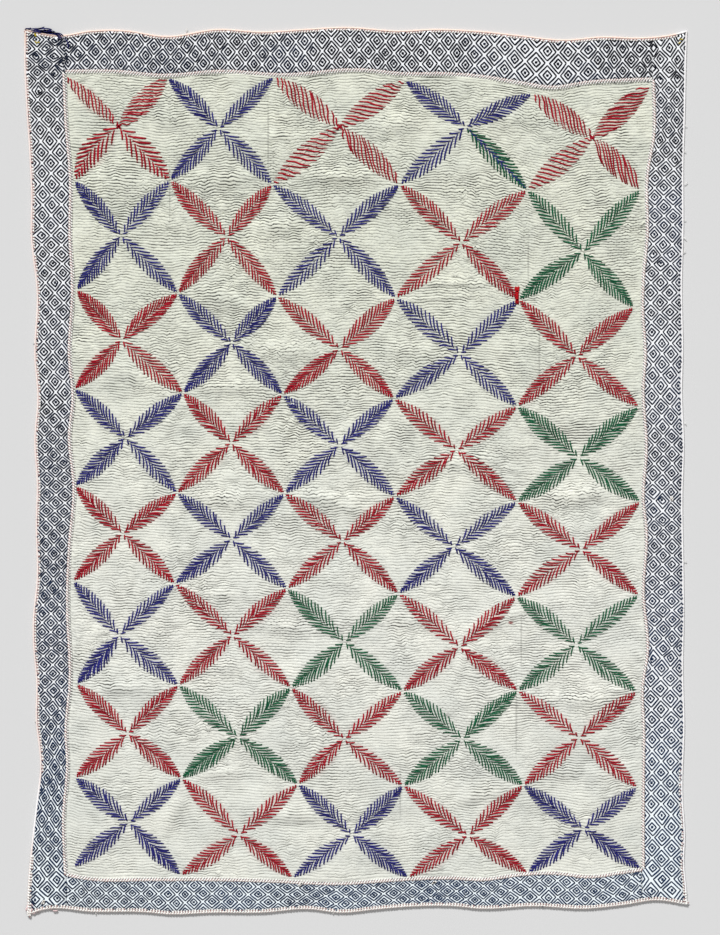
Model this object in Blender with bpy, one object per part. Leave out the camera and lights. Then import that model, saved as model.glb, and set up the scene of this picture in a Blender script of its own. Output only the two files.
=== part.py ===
"""Kantha quilt: layers of soft white cotton quilted together, with four patterned border strips.

It lies flat, face up. X runs across the quilt, Y runs along it, Z is up, and the underside is z = 0.
All tables are in millimetres and all other lengths in metres.
"""

import math

import bmesh
import bpy
import numpy as np
from mathutils import Vector
from mathutils.bvhtree import BVHTree

MM = 0.001

# Overall sizes
QUILT_WIDTH = 1.326
QUILT_LENGTH = 1.776

# Quilted body
RIM_THICKNESS = 0.0020
GROUND_THICKNESS = 0.0027
ROLL_WIDTH = 0.0042
ROLL_TOP = 0.0036
ROLL_SHOULDER = 0.0024
ROLL_CREST_INSET = 0.0020
OUTLINE_STEP = 0.032

# Quilting rows that stand up from the body
ROW_PITCH = 0.0155
ROW_HEIGHT = 0.0011
ROW_WANDER = 0.0020
ROW_WANDER_LENGTH = 0.210
COLUMN_COUNT = 21
FADE_COLUMN = 0.006
FADE_WIDTH = 0.012
SEAM_GAP = 0.0020

# Border strips
STRIP_GAP = 0.0003
STRIP_THICKNESS = 0.0010
STRIP_PUFF = 0.0005
STRIP_INSET = 0.0053
STRIP_END_INSET = 0.0056
BUTT_GAP = 0.0006
SIDE_PATTERN_PITCH = 0.040
END_PATTERN_PITCH = 0.036
STRIP_LINES_ACROSS = 5

# Thick thread bundle sewn on the ground
KNOT_X = 0.3226
KNOT_Y = 0.351
KNOT_LENGTH = 0.038
KNOT_WIDTH = 0.0090
KNOT_HEIGHT = 0.0050
KNOT_BEND = 0.0015
KNOT_GAP = 0.0004
KNOT_SIDES = 10
KNOT_RINGS = 9
KNOT_FLAT_RADIUS = 0.075

# Outer edge of the quilt. Columns: place along the side, distance out from the middle line
EDGE_TOP = (
    (-662, 884), (-589, 872), (-530, 881), (-467, 882), (-377, 870), (-277, 884),
    (-185, 879), (-103, 884), (-20, 888), (91, 881), (151, 884), (249, 880),
    (325, 872), (417, 863), (493, 869), (571, 867), (631, 873), (663, 881),
)
EDGE_BOTTOM = (
    (-657, -888), (-619, -877), (-527, -882), (-421, -883), (-375, -887), (-283, -884),
    (-191, -884), (-93, -877), (-31, -884), (45, -877), (105, -872), (197, -871),
    (247, -876), (357, -871), (463, -876), (539, -868), (601, -859), (663, -868),
)
EDGE_LEFT = (
    (-888, -657), (-826, -655), (-764, -650), (-658, -638), (-596, -631), (-494, -640),
    (-426, -639), (-334, -646), (-304, -646), (-212, -638), (-106, -640), (-28, -638),
    (58, -643), (150, -637), (228, -643), (350, -638), (472, -650), (544, -649),
    (636, -653), (728, -659), (820, -663), (884, -662),
)
EDGE_RIGHT = (
    (-868, 663), (-840, 662), (-780, 657), (-734, 659), (-642, 654), (-504, 658),
    (-396, 655), (-288, 657), (-182, 656), (-58, 654), (58, 657), (166, 653),
    (228, 655), (380, 653), (482, 656), (620, 656), (712, 659), (814, 661), (881, 663),
)

# Seam between the ground and the strips. Columns: place along the side, distance out
SEAM_TOP = (
    (-581, 797), (-481, 797), (-389, 789), (-267, 797), (-145, 790), (7, 800), (99, 792),
    (183, 792), (249, 787), (325, 775), (395, 765), (463, 775), (555, 780), (593, 781),
)
SEAM_BOTTOM = (
    (-578, -805), (-543, -812), (-405, -815), (-283, -815), (-169, -818), (-31, -823),
    (75, -816), (197, -812), (247, -815), (341, -804), (387, -802), (479, -809),
    (525, -802), (573, -795),
)
SEAM_LEFT = (
    (-805, -578), (-702, -582), (-580, -574), (-520, -577), (-426, -569), (-258, -574),
    (-150, -570), (-38, -561), (74, -570), (143, -563), (228, -570), (364, -564),
    (472, -569), (584, -568), (698, -577), (797, -581),
)
SEAM_RIGHT = (
    (-795, 573), (-642, 573), (-520, 574), (-426, 572), (-366, 581), (-242, 573),
    (-120, 579), (-58, 573), (44, 579), (166, 573), (235, 577), (320, 572),
    (380, 573), (472, 581), (590, 581), (682, 595), (728, 595), (781, 593),
)

# Puckers between the quilted motifs, one a row.
# Columns: middle x, middle y, half length, half width, tilt in degrees, height (below 0 is a trough)
PUCKERS = (
    (-361, 708, 55, 20, -10, 3.0),
    (-261, 584, 62, 22, 6, 4.6),
    (-31, 590, 65, 15, 0, 3.8),
    (-161, 490, 50, 20, 5, 3.8),
    (-146, 670, 60, 12, 0, 2.4),
    (79, 692, 52, 20, 14, 3.4),
    (324, 707, 60, 24, -5, 4.2),
    (304, 752, 45, 14, 18, 2.2),
    (-496, 572, 55, 28, 0, 2.4),
    (219, 372, 70, 12, -2, 3.0),
    (-266, 347, 55, 18, -15, 3.4),
    (-351, 292, 45, 16, -65, 2.4),
    (-131, 240, 50, 17, 0, 3.0),
    (89, 240, 50, 17, 0, 3.0),
    (-261, 167, 60, 15, 0, 3.4),
    (-436, 187, 50, 18, -32, 3.0),
    (199, 17, 60, 16, 0, 3.4),
    (-266, -58, 55, 17, 0, 3.8),
    (-56, -58, 58, 18, -12, 4.2),
    (444, -48, 62, 20, 5, 4.6),
    (-266, -246, 42, 13, 0, 2.8),
    (-151, -310, 65, 14, -5, 3.0),
    (104, -298, 45, 18, 0, 3.4),
    (289, -298, 60, 18, 18, 3.0),
    (-461, -433, 48, 13, 0, 3.2),
    (-271, -393, 45, 14, 10, 2.4),
    (429, -458, 90, 14, 0, 3.4),
    (-361, -678, 38, 14, 60, 2.4),
    (-266, -603, 50, 13, 0, 2.4),
    (-121, -690, 60, 15, -5, 3.8),
    (249, -648, 55, 16, 14, 3.0),
    (419, -603, 52, 16, 0, 3.0),
    (-11, -786, 80, 14, 0, -0.5),
    (104, -748, 45, 14, 0, -0.5),
)

# Colour, roughness and metallic of each piece
FINISHES = {
    "quilt_ground": ((0.69, 0.69, 0.62, 1.0), 0.92, 0.0),
    "border_left": ((0.34, 0.37, 0.42, 1.0), 0.90, 0.0),
    "border_right": ((0.37, 0.40, 0.44, 1.0), 0.90, 0.0),
    "border_top": ((0.34, 0.37, 0.41, 1.0), 0.90, 0.0),
    "border_bottom": ((0.36, 0.41, 0.48, 1.0), 0.90, 0.0),
    "mend_knot": ((0.40, 0.05, 0.07, 1.0), 0.75, 0.0),
}


def along(table, at):
    """A smooth line through the rows of a two-column table, read at the given places in metres."""
    place, value = np.array(table, float).T * MM
    slope = np.gradient(value, place)
    at = np.clip(np.asarray(at, float), place[0], place[-1])
    low = np.clip(np.searchsorted(place, at) - 1, 0, len(place) - 2)
    span = place[low + 1] - place[low]
    t = (at - place[low]) / span
    start = (1 + 2 * t) * (1 - t) ** 2 * value[low] + t * (1 - t) ** 2 * span * slope[low]
    end = t**2 * (3 - 2 * t) * value[low + 1] - t**2 * (1 - t) * span * slope[low + 1]
    return start + end


def on_edge(table, at):
    """The quilt's outer edge read at the given places, straight between the outline's points."""
    start, stop = table[0][0] * MM, table[-1][0] * MM
    place = np.linspace(start, stop, round((stop - start) / OUTLINE_STEP) + 1)
    return np.interp(at, place, along(table, place))


def smooth(t):
    """A soft step from 0 to 1."""
    t = np.clip(t, 0, 1)
    return t * t * (3 - 2 * t)


def outline():
    """The quilt's outer edge as (x, y) points, anticlockwise from the bottom left corner."""
    sides = []
    for table, upright, backwards in (
        (EDGE_BOTTOM, False, False),
        (EDGE_RIGHT, True, False),
        (EDGE_TOP, False, True),
        (EDGE_LEFT, True, True),
    ):
        start, stop = table[0][0] * MM, table[-1][0] * MM
        count = round((stop - start) / OUTLINE_STEP)
        place = np.linspace(start, stop, count + 1)
        value = along(table, place)
        side = np.column_stack((value, place) if upright else (place, value))
        sides.append((side[::-1] if backwards else side)[:-1])
    edge = np.concatenate(sides)
    limit = np.array((QUILT_WIDTH, QUILT_LENGTH)) / 2
    return np.clip(edge, -limit, limit)


def inset(edge, distance):
    """The closed line moved inwards by a distance, with mitred corners."""
    before = edge - np.roll(edge, 1, axis=0)
    after = np.roll(edge, -1, axis=0) - edge
    before /= np.linalg.norm(before, axis=1)[:, None]
    after /= np.linalg.norm(after, axis=1)[:, None]
    inward = np.column_stack((-before[:, 1] - after[:, 1], before[:, 0] + after[:, 0]))
    inward /= np.linalg.norm(inward, axis=1)[:, None]
    cosine = inward[:, 0] * -after[:, 1] + inward[:, 1] * after[:, 0]
    return edge + inward * (distance / cosine)[:, None]


def ground_patch(u, v):
    """Places on the ground: u runs from the left seam to the right, v from the bottom seam to the top."""
    bottom_start, bottom_stop = SEAM_BOTTOM[0][0] * MM, SEAM_BOTTOM[-1][0] * MM
    top_start, top_stop = SEAM_TOP[0][0] * MM, SEAM_TOP[-1][0] * MM
    left_start, left_stop = SEAM_LEFT[0][0] * MM, SEAM_LEFT[-1][0] * MM
    right_start, right_stop = SEAM_RIGHT[0][0] * MM, SEAM_RIGHT[-1][0] * MM
    bottom_x = bottom_start + (bottom_stop - bottom_start) * u
    top_x = top_start + (top_stop - top_start) * u
    left_y = left_start + (left_stop - left_start) * v
    right_y = right_start + (right_stop - right_start) * v
    corner_x = (1 - v) * bottom_x + v * top_x
    corner_y = (1 - u) * left_y + u * right_y
    left_x = along(SEAM_LEFT, left_y) - ((1 - v) * bottom_start + v * top_start)
    right_x = along(SEAM_RIGHT, right_y) - ((1 - v) * bottom_stop + v * top_stop)
    bottom_y = along(SEAM_BOTTOM, bottom_x) - ((1 - u) * left_start + u * right_start)
    top_y = along(SEAM_TOP, top_x) - ((1 - u) * left_stop + u * right_stop)
    x = corner_x + (1 - u) * left_x + u * right_x
    y = corner_y + (1 - v) * bottom_y + v * top_y
    middle_x, middle_y = x.mean(), y.mean()
    shrink_x = 1 - 2 * SEAM_GAP / (x.max() - x.min())
    shrink_y = 1 - 2 * SEAM_GAP / (y.max() - y.min())
    return middle_x + (x - middle_x) * shrink_x, middle_y + (y - middle_y) * shrink_y


def pucker_height(x, y):
    """Height of all puckers at the given places."""
    total = np.zeros_like(x)
    for middle_x, middle_y, half_length, half_width, tilt, height in PUCKERS:
        turn = math.radians(tilt)
        dx, dy = x - middle_x * MM, y - middle_y * MM
        run = (dx * math.cos(turn) + dy * math.sin(turn)) / (half_length * MM)
        cross = (dy * math.cos(turn) - dx * math.sin(turn)) / (half_width * MM)
        total += height * MM * np.exp(-(run**2)) * np.exp(-(cross**2))
    from_knot = np.hypot(x - KNOT_X, y - KNOT_Y) / KNOT_FLAT_RADIUS
    return total * smooth(from_knot - 0.3)


def ground_height(x, y, row, u, v, width, length):
    """Height of the ground's face: quilting rows and puckers, fading to the rim at the seams."""
    ripple = ROW_HEIGHT * (np.where(row % 2 == 1, 0.5, -0.5))
    raised = GROUND_THICKNESS - RIM_THICKNESS + ripple + pucker_height(x, y)
    from_side = np.minimum(u, 1 - u) * width
    from_end = np.minimum(v, 1 - v) * length
    fade = smooth(from_side / FADE_COLUMN) * smooth(from_end / FADE_WIDTH)
    return RIM_THICKNESS + np.maximum(raised, 0.0) * fade


def ground_grid():
    """Points of the ground's face as an array of rows by columns by 3."""
    width = (SEAM_BOTTOM[-1][0] - SEAM_BOTTOM[0][0]) * MM
    length = (SEAM_LEFT[-1][0] - SEAM_LEFT[0][0]) * MM
    rows = 2 * round(length / ROW_PITCH) + 1
    edge = FADE_COLUMN / width
    columns = np.concatenate(([0.0], np.linspace(edge, 1 - edge, COLUMN_COUNT), [1.0]))
    v, u = np.meshgrid(np.linspace(0, 1, rows), columns, indexing="ij")
    row = np.broadcast_to(np.arange(rows)[:, None], u.shape)
    x, y = ground_patch(u, v)
    wave = np.sin(math.tau * (x / ROW_WANDER_LENGTH + y / (ROW_WANDER_LENGTH * math.pi)))
    edge_fade = smooth(np.minimum(v, 1 - v) * length / (4 * ROW_PITCH))
    edge_fade = edge_fade * smooth(np.minimum(u, 1 - u) * width / FADE_COLUMN)
    y = y + ROW_WANDER * wave * edge_fade
    z = ground_height(x, y, row, u, v, width, length)
    return np.stack((x, y, z), axis=-1)


def new_piece(name, bm):
    """Turns a bmesh into a named object with its own material."""
    bmesh.ops.recalc_face_normals(bm, faces=bm.faces)
    mesh = bpy.data.meshes.new(name)
    bm.to_mesh(mesh)
    bm.free()
    piece = bpy.data.objects.new(name, mesh)
    bpy.context.collection.objects.link(piece)
    colour, roughness, metallic = FINISHES[name]
    material = bpy.data.materials.new(name)
    material.use_nodes = True
    shader = material.node_tree.nodes["Principled BSDF"]
    shader.inputs["Base Color"].default_value = colour
    shader.inputs["Roughness"].default_value = roughness
    shader.inputs["Metallic"].default_value = metallic
    mesh.materials.append(material)
    return piece


def add_ring(bm, points, height):
    """Adds a closed ring of vertices at one height."""
    return [bm.verts.new((x, y, height)) for x, y in points]


def bridge(bm, low, high):
    """Faces between two rings of the same length."""
    count = len(low)
    for i in range(count):
        j = (i + 1) % count
        bm.faces.new((low[i], low[j], high[j], high[i]))


def build_ground():
    """The quilted body: flat underside, rolled outer edge, flat rim under the strips, ridged ground."""
    bm = bmesh.new()
    edge = outline()
    foot = add_ring(bm, edge, 0.0)
    shoulder = add_ring(bm, edge, ROLL_SHOULDER)
    crest = add_ring(bm, inset(edge, ROLL_CREST_INSET), ROLL_TOP)
    rim = add_ring(bm, inset(edge, ROLL_WIDTH), RIM_THICKNESS)
    bm.faces.new(foot)
    bridge(bm, foot, shoulder)
    bridge(bm, shoulder, crest)
    bridge(bm, crest, rim)
    grid = ground_grid()
    rows, columns = grid.shape[:2]
    verts = [[bm.verts.new(point) for point in line] for line in grid]
    for i in range(rows - 1):
        for j in range(columns - 1):
            a, b, c, d = verts[i][j], verts[i][j + 1], verts[i + 1][j + 1], verts[i + 1][j]
            bm.faces.new((a, b, c))
            bm.faces.new((a, c, d))
    border = verts[0] + [line[-1] for line in verts[1:]]
    border += verts[-1][-2::-1] + [line[0] for line in verts[-2:0:-1]]
    loops = []
    for ring in (rim, border):
        for i, vert in enumerate(ring):
            other = ring[(i + 1) % len(ring)]
            loops.append(bm.edges.get((vert, other)) or bm.edges.new((vert, other)))
    bmesh.ops.triangle_fill(bm, use_beauty=True, use_dissolve=False, edges=loops, normal=(0, 0, 1))
    return new_piece("quilt_ground", bm)


def strip_line(name, share, count):
    """One line along a strip as (x, y) points; share is 0 at its outer edge and 1 at the seam."""
    if name in ("border_left", "border_right"):
        left = name == "border_left"
        edge, seam = (EDGE_LEFT, SEAM_LEFT) if left else (EDGE_RIGHT, SEAM_RIGHT)
        inset_x = STRIP_INSET if left else -STRIP_INSET
        foot_x = (edge[0][1] * MM + inset_x) * (1 - share) + seam[0][1] * MM * share
        head_x = (edge[-1][1] * MM + inset_x) * (1 - share) + seam[-1][1] * MM * share
        start = on_edge(EDGE_BOTTOM, foot_x) + STRIP_END_INSET
        stop = on_edge(EDGE_TOP, head_x) - STRIP_END_INSET
        y = np.linspace(start, stop, count)
        x = (on_edge(edge, y) + inset_x) * (1 - share) + along(seam, y) * share
        return np.column_stack((x, y))
    top = name == "border_top"
    edge, seam = (EDGE_TOP, SEAM_TOP) if top else (EDGE_BOTTOM, SEAM_BOTTOM)
    inset_y = -STRIP_INSET if top else STRIP_INSET
    left_end, right_end = (SEAM_LEFT[-1], SEAM_RIGHT[-1]) if top else (SEAM_LEFT[0], SEAM_RIGHT[0])
    x = np.linspace(left_end[1] * MM + BUTT_GAP, right_end[1] * MM - BUTT_GAP, count)
    y = (on_edge(edge, x) + inset_y) * (1 - share) + along(seam, x) * share
    return np.column_stack((x, y))


def build_strip(name):
    """A border strip: flat underside, face softly raised diamond by diamond."""
    upright = name in ("border_left", "border_right")
    length = QUILT_LENGTH if upright else -SEAM_LEFT[-1][1] * MM + SEAM_RIGHT[-1][1] * MM
    pitch = SIDE_PATTERN_PITCH if upright else END_PATTERN_PITCH
    count = 2 * round(length / pitch) + 1
    bm = bmesh.new()
    base = RIM_THICKNESS + STRIP_GAP
    lines = []
    for i in range(STRIP_LINES_ACROSS):
        outermost = i in (0, STRIP_LINES_ACROSS - 1)
        line = []
        for j, (x, y) in enumerate(strip_line(name, i / (STRIP_LINES_ACROSS - 1), count)):
            puffed = (i + j) % 2 == 0 and not outermost and 0 < j < count - 1
            top = base + STRIP_THICKNESS + (STRIP_PUFF if puffed else 0.0)
            line.append(bm.verts.new((x, y, top)))
        lines.append(line)
    for i in range(STRIP_LINES_ACROSS - 1):
        for j in range(count - 1):
            a, b = lines[i][j], lines[i][j + 1]
            c, d = lines[i + 1][j + 1], lines[i + 1][j]
            if (i + j) % 2 == 0:
                bm.faces.new((a, b, c))
                bm.faces.new((a, c, d))
            else:
                bm.faces.new((a, b, d))
                bm.faces.new((b, c, d))
    rim = lines[0] + [line[-1] for line in lines[1:]]
    rim += lines[-1][-2::-1] + [line[0] for line in lines[-2:0:-1]]
    foot = [bm.verts.new((vert.co.x, vert.co.y, base)) for vert in rim]
    bridge(bm, foot, rim)
    bm.faces.new(foot)
    return new_piece(name, bm)


def build_knot(ground):
    """A slightly bent spindle of thick thread lying on the ground."""
    bm = bmesh.new()
    bm.from_mesh(ground.data)
    tree = BVHTree.FromBMesh(bm)
    bm.free()
    floor = 0.0
    above = 10 * GROUND_THICKNESS
    for dx in np.linspace(-KNOT_WIDTH, KNOT_WIDTH, 9):
        for dy in np.linspace(-KNOT_LENGTH, KNOT_LENGTH, 41) * 0.55:
            hit = tree.ray_cast(Vector((KNOT_X + dx, KNOT_Y + dy, above)), Vector((0, 0, -1)))[0]
            floor = max(floor, hit.z)
    middle = floor + KNOT_GAP + KNOT_HEIGHT / 2
    bm = bmesh.new()
    rings = []
    for i in range(1, KNOT_RINGS):
        t = i / KNOT_RINGS
        swell = math.sin(math.pi * t) ** 0.5
        y = KNOT_Y + (t - 0.5) * KNOT_LENGTH
        x = KNOT_X + KNOT_BEND * math.sin(math.tau * t)
        ring = []
        for k in range(KNOT_SIDES):
            turn = math.tau * k / KNOT_SIDES
            across = KNOT_WIDTH / 2 * swell * math.cos(turn)
            up = KNOT_HEIGHT / 2 * swell * math.sin(turn)
            ring.append(bm.verts.new((x + across, y, middle + up)))
        rings.append(ring)
    for low, high in zip(rings, rings[1:]):
        bridge(bm, low, high)
    for ring, end in ((rings[0], -0.5), (rings[-1], 0.5)):
        tip = bm.verts.new((KNOT_X, KNOT_Y + end * KNOT_LENGTH, middle))
        for k in range(KNOT_SIDES):
            bm.faces.new((ring[k], ring[(k + 1) % KNOT_SIDES], tip))
    return new_piece("mend_knot", bm)


def main():
    """Clears the scene and builds every piece."""
    for old in list(bpy.data.objects):
        bpy.data.objects.remove(old, do_unlink=True)
    ground = build_ground()
    for name in ("border_left", "border_right", "border_top", "border_bottom"):
        build_strip(name)
    build_knot(ground)


main()
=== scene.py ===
import math

import bpy
import numpy as np
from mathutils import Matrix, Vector


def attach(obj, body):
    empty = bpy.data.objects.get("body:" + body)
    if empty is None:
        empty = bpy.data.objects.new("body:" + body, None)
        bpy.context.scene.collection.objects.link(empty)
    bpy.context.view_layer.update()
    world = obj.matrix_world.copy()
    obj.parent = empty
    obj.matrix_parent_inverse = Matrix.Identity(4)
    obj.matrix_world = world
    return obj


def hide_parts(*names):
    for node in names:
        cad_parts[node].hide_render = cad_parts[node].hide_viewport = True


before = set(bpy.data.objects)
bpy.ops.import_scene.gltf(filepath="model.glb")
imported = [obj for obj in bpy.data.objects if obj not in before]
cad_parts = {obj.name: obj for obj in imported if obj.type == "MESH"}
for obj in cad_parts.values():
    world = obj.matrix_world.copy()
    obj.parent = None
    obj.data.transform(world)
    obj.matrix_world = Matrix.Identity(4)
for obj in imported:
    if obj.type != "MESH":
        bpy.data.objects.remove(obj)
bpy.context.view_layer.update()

# Looks of the kantha quilt: the quilted cloth, its border strips, stitched pattern, embroidered leaves and
# edging. The quilt lies flat, face up, with X across it, Y along it and Z up. Tables are in millimetres and
# degrees, and the rest is in metres.

bl_info = {
    "name": "Kantha quilt",
    "version": (1, 0, 0),
    "blender": (4, 5, 0),
    "location": "3D View > Sidebar > Quilt",
    "description": "Builds a hand-quilted cotton throw with embroidered leaves and patterned borders",
    "category": "Object",
}

MM = 0.001

BACK_HEIGHT = 0.0003
STRIP_INSET = 0.0040
STRIP_END_INSET = 0.0046
BUTT_GAP = 0.0006
UPRIGHT_STRIPS = ("border_left", "border_right")

# Middle of the red knot, and how far round it the ground is kept flat
KNOT_MIDDLE = (0.3226, 0.351)
KNOT_FLAT_RADIUS = 0.075

# Outer edge of the quilt. Columns: place along the side, distance out from the middle line
EDGE_TOP = (
    (-662, 884), (-589, 872), (-530, 881), (-467, 882), (-377, 870), (-277, 884),
    (-185, 879), (-103, 884), (-20, 888), (91, 881), (151, 884), (249, 880),
    (325, 872), (417, 863), (493, 869), (571, 867), (631, 873), (663, 881),
)
EDGE_BOTTOM = (
    (-657, -888), (-619, -877), (-527, -882), (-421, -883), (-375, -887), (-283, -884),
    (-191, -884), (-93, -877), (-31, -884), (45, -877), (105, -872), (197, -871),
    (247, -876), (357, -871), (463, -876), (539, -868), (601, -859), (663, -868),
)
EDGE_LEFT = (
    (-888, -657), (-826, -655), (-764, -650), (-658, -638), (-596, -631), (-494, -640),
    (-426, -639), (-334, -646), (-304, -646), (-212, -638), (-106, -640), (-28, -638),
    (58, -643), (150, -637), (228, -643), (350, -638), (472, -650), (544, -649),
    (636, -653), (728, -659), (820, -663), (884, -662),
)
EDGE_RIGHT = (
    (-868, 663), (-840, 662), (-780, 657), (-734, 659), (-642, 654), (-504, 658),
    (-396, 655), (-288, 657), (-182, 656), (-58, 654), (58, 657), (166, 653),
    (228, 655), (380, 653), (482, 656), (620, 656), (712, 659), (814, 661), (881, 663),
)

# Seam between the ground and the strips. Columns: place along the side, distance out
SEAM_TOP = (
    (-581, 797), (-481, 797), (-389, 789), (-267, 797), (-145, 790), (7, 800), (99, 792),
    (183, 792), (249, 787), (325, 775), (395, 765), (463, 775), (555, 780), (593, 781),
)
SEAM_BOTTOM = (
    (-578, -805), (-543, -812), (-405, -815), (-283, -815), (-169, -818), (-31, -823),
    (75, -816), (197, -812), (247, -815), (341, -804), (387, -802), (479, -809),
    (525, -802), (573, -795),
)
SEAM_LEFT = (
    (-805, -578), (-702, -582), (-580, -574), (-520, -577), (-426, -569), (-258, -574),
    (-150, -570), (-38, -561), (74, -570), (143, -563), (228, -570), (364, -564),
    (472, -569), (584, -568), (698, -577), (797, -581),
)
SEAM_RIGHT = (
    (-795, 573), (-642, 573), (-520, 574), (-426, 572), (-366, 581), (-242, 573),
    (-120, 579), (-58, 573), (44, 579), (166, 573), (235, 577), (320, 572),
    (380, 573), (472, 581), (590, 581), (682, 595), (728, 595), (781, 593),
)

# Puckers of the ground, one a row.
# Columns: middle x, middle y, half length, half width, tilt in degrees, height (below 0 is a trough)
PUCKERS = (
    (-361, 708, 55, 20, -10, 3.0),
    (-261, 584, 62, 22, 6, 4.6),
    (-31, 590, 65, 15, 0, 3.8),
    (-161, 490, 50, 20, 5, 3.8),
    (-146, 670, 60, 12, 0, 2.4),
    (79, 692, 52, 20, 14, 3.4),
    (324, 707, 60, 24, -5, 4.2),
    (304, 752, 45, 14, 18, 2.2),
    (-496, 572, 55, 28, 0, 2.4),
    (219, 372, 70, 12, -2, 3.0),
    (-266, 347, 55, 18, -15, 3.4),
    (-351, 292, 45, 16, -65, 2.4),
    (-131, 240, 50, 17, 0, 3.0),
    (89, 240, 50, 17, 0, 3.0),
    (-261, 167, 60, 15, 0, 3.4),
    (-436, 187, 50, 18, -32, 3.0),
    (199, 17, 60, 16, 0, 3.4),
    (-266, -58, 55, 17, 0, 3.8),
    (-56, -58, 58, 18, -12, 4.2),
    (444, -48, 62, 20, 5, 4.6),
    (-266, -246, 42, 13, 0, 2.8),
    (-151, -310, 65, 14, -5, 3.0),
    (104, -298, 45, 18, 0, 3.4),
    (289, -298, 60, 18, 18, 3.0),
    (-461, -433, 48, 13, 0, 3.2),
    (-271, -393, 45, 14, 10, 2.4),
    (429, -458, 90, 14, 0, 3.4),
    (-361, -678, 38, 14, 60, 2.4),
    (-266, -603, 50, 13, 0, 2.4),
    (-121, -690, 60, 15, -5, 3.8),
    (249, -648, 55, 16, 14, 3.0),
    (419, -603, 52, 16, 0, 3.0),
    (-11, -786, 80, 14, 0, -0.5),
    (104, -748, 45, 14, 0, -0.5),
)

# Old fold lines, too fine for the solids. Columns as for the puckers
FOLD_LINES = (
    (345, 290, 190, 5, 88, 0.9),
    (89, -400, 330, 5, 90, 0.7),
    (-357, -430, 300, 5, 90, 0.6),
    (-100, -52, 170, 4, -1, 0.8),
    (-41, 586, 34, 5, 0, 1.4),
    (150, 366, 130, 4, 1, -1.5),
    (180, 347, 110, 4, 4, 1.5),
    (498, -70, 30, 8, -15, -1.2),
    (-111, -714, 22, 8, 0, -1.2),
    (509, -438, 60, 5, 0, 1.0),
    (-350, 130, 70, 5, 12, 0.9),
    (130, -560, 70, 5, -8, 0.8),
    (-520, -250, 40, 5, 20, 0.8),
)

# Thin lines of painted shade along the upright creases of old folds. Columns: middle x, middle y, half width,
# half length
CREASE_SHADES = (
    (345, 425, 2.2, 60), (367, 240, 2.2, 75), (321, -495, 2.2, 85), (-175, 670, 2.2, 80),
    (331, -340, 2.0, 60), (-372, 560, 2.0, 60), (89, -640, 2.0, 60),
)

# The red stain of the ground and the white stretch of the rolled edge. Columns as for the creases
STAIN = (310, -303, 5, 3.5)
WHITE_EDGE = (-640, -685, 50, 70)

# Middle of each embroidered cross, eight rows from the top, as x, y
CROSS_CENTRES = (
    ((-474, 689), (-274, 685), (-32, 688), (220, 688), (473, 666)),
    ((-469, 470), (-258, 468), (-35, 468), (211, 457), (454, 438)),
    ((-468, 262), (-248, 256), (-32, 244), (208, 234), (443, 230)),
    ((-460, 66), (-249, 56), (-32, 51), (202, 42), (446, 27)),
    ((-466, -125), (-248, -137), (-26, -140), (196, -151), (451, -157)),
    ((-473, -329), (-246, -329), (-22, -342), (208, -352), (441, -347)),
    ((-456, -525), (-235, -532), (-23, -536), (213, -536), (446, -533)),
    ((-453, -703), (-233, -727), (-8, -727), (225, -729), (455, -715)),
)

# Corners where the leaf tips meet, nine rows from the top, as x, y
LEAF_TIPS = (
    ((-581, 789), (-375, 786), (-163, 788), (99, 780), (353, 754), (589, 770)),
    ((-562, 581), (-371, 581), (-167, 573), (88, 573), (343, 562), (569, 562)),
    ((-558, 362), (-355, 355), (-157, 349), (80, 346), (326, 343), (556, 327)),
    ((-562, 164), (-345, 156), (-146, 153), (77, 145), (323, 129), (566, 128)),
    ((-561, -30), (-357, -44), (-142, -45), (79, -51), (323, -61), (569, -61)),
    ((-565, -220), (-361, -225), (-137, -235), (86, -245), (321, -251), (566, -248)),
    ((-558, -426), (-354, -428), (-129, -433), (94, -440), (324, -439), (562, -441)),
    ((-561, -613), (-348, -614), (-115, -626), (95, -629), (335, -628), (563, -633)),
    ((-564, -792), (-350, -808), (-126, -813), (105, -813), (344, -804), (570, -795)),
)

# Embroidery threads by their letters, and the thread of each cross, row by row
THREADS = {"R": "red", "B": "blue", "G": "green"}
CROSS_COLOURS = ("RBRBR", "BRBRG", "RBRBR", "BRBRG", "RBRBR", "BRGRG", "RGRGR", "BRBRB")

# Crosses with leaves of single slanted stitches, as (row, column, leaves)
SLANTED = (
    (0, 2, ("NW", "NE", "SW", "SE")),
    (0, 4, ("NW", "NE", "SW", "SE")),
    (0, 0, ("NW", "NE")),
)
# Leaves of widely spaced bold chevrons, as (row, column, leaves)
BOLD = ((0, 0, ("SW", "SE")),)

# Feather leaves by place and thread: barbs more than usual, share of the usual half width, bend of the barbs
# as a share of their length, share of the usual thread width
LEAF_STYLES = {
    "upper": {"R": (2, 1.00, 0.03, 1.0), "B": (1, 0.97, 0.04, 1.0), "G": (2, 1.02, 0.04, 1.0)},
    "lower": {"R": (1, 0.92, 0.06, 1.0), "B": (1, 0.95, 0.06, 1.0), "G": (2, 1.00, 0.05, 0.90)},
}

# Crosses, as (row, column), whose leaves are joined by stitches over the middle
JOINED = ((0, 0), (0, 2), (0, 4))

# A leaf of green barbs with blue along its rib
MIXED_LEAF = (0, 3, "SE")

# Gaps that a leaf leaves at the middle of its cross and at its tip
LEAF_GAPS = (0.0025, 0.0020)

# Where each leaf's tip lies in the table of tips, as rows down and columns to the right of its cross
LEAVES = {"NW": (0, 0), "NE": (0, 1), "SW": (1, 0), "SE": (1, 1)}

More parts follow.
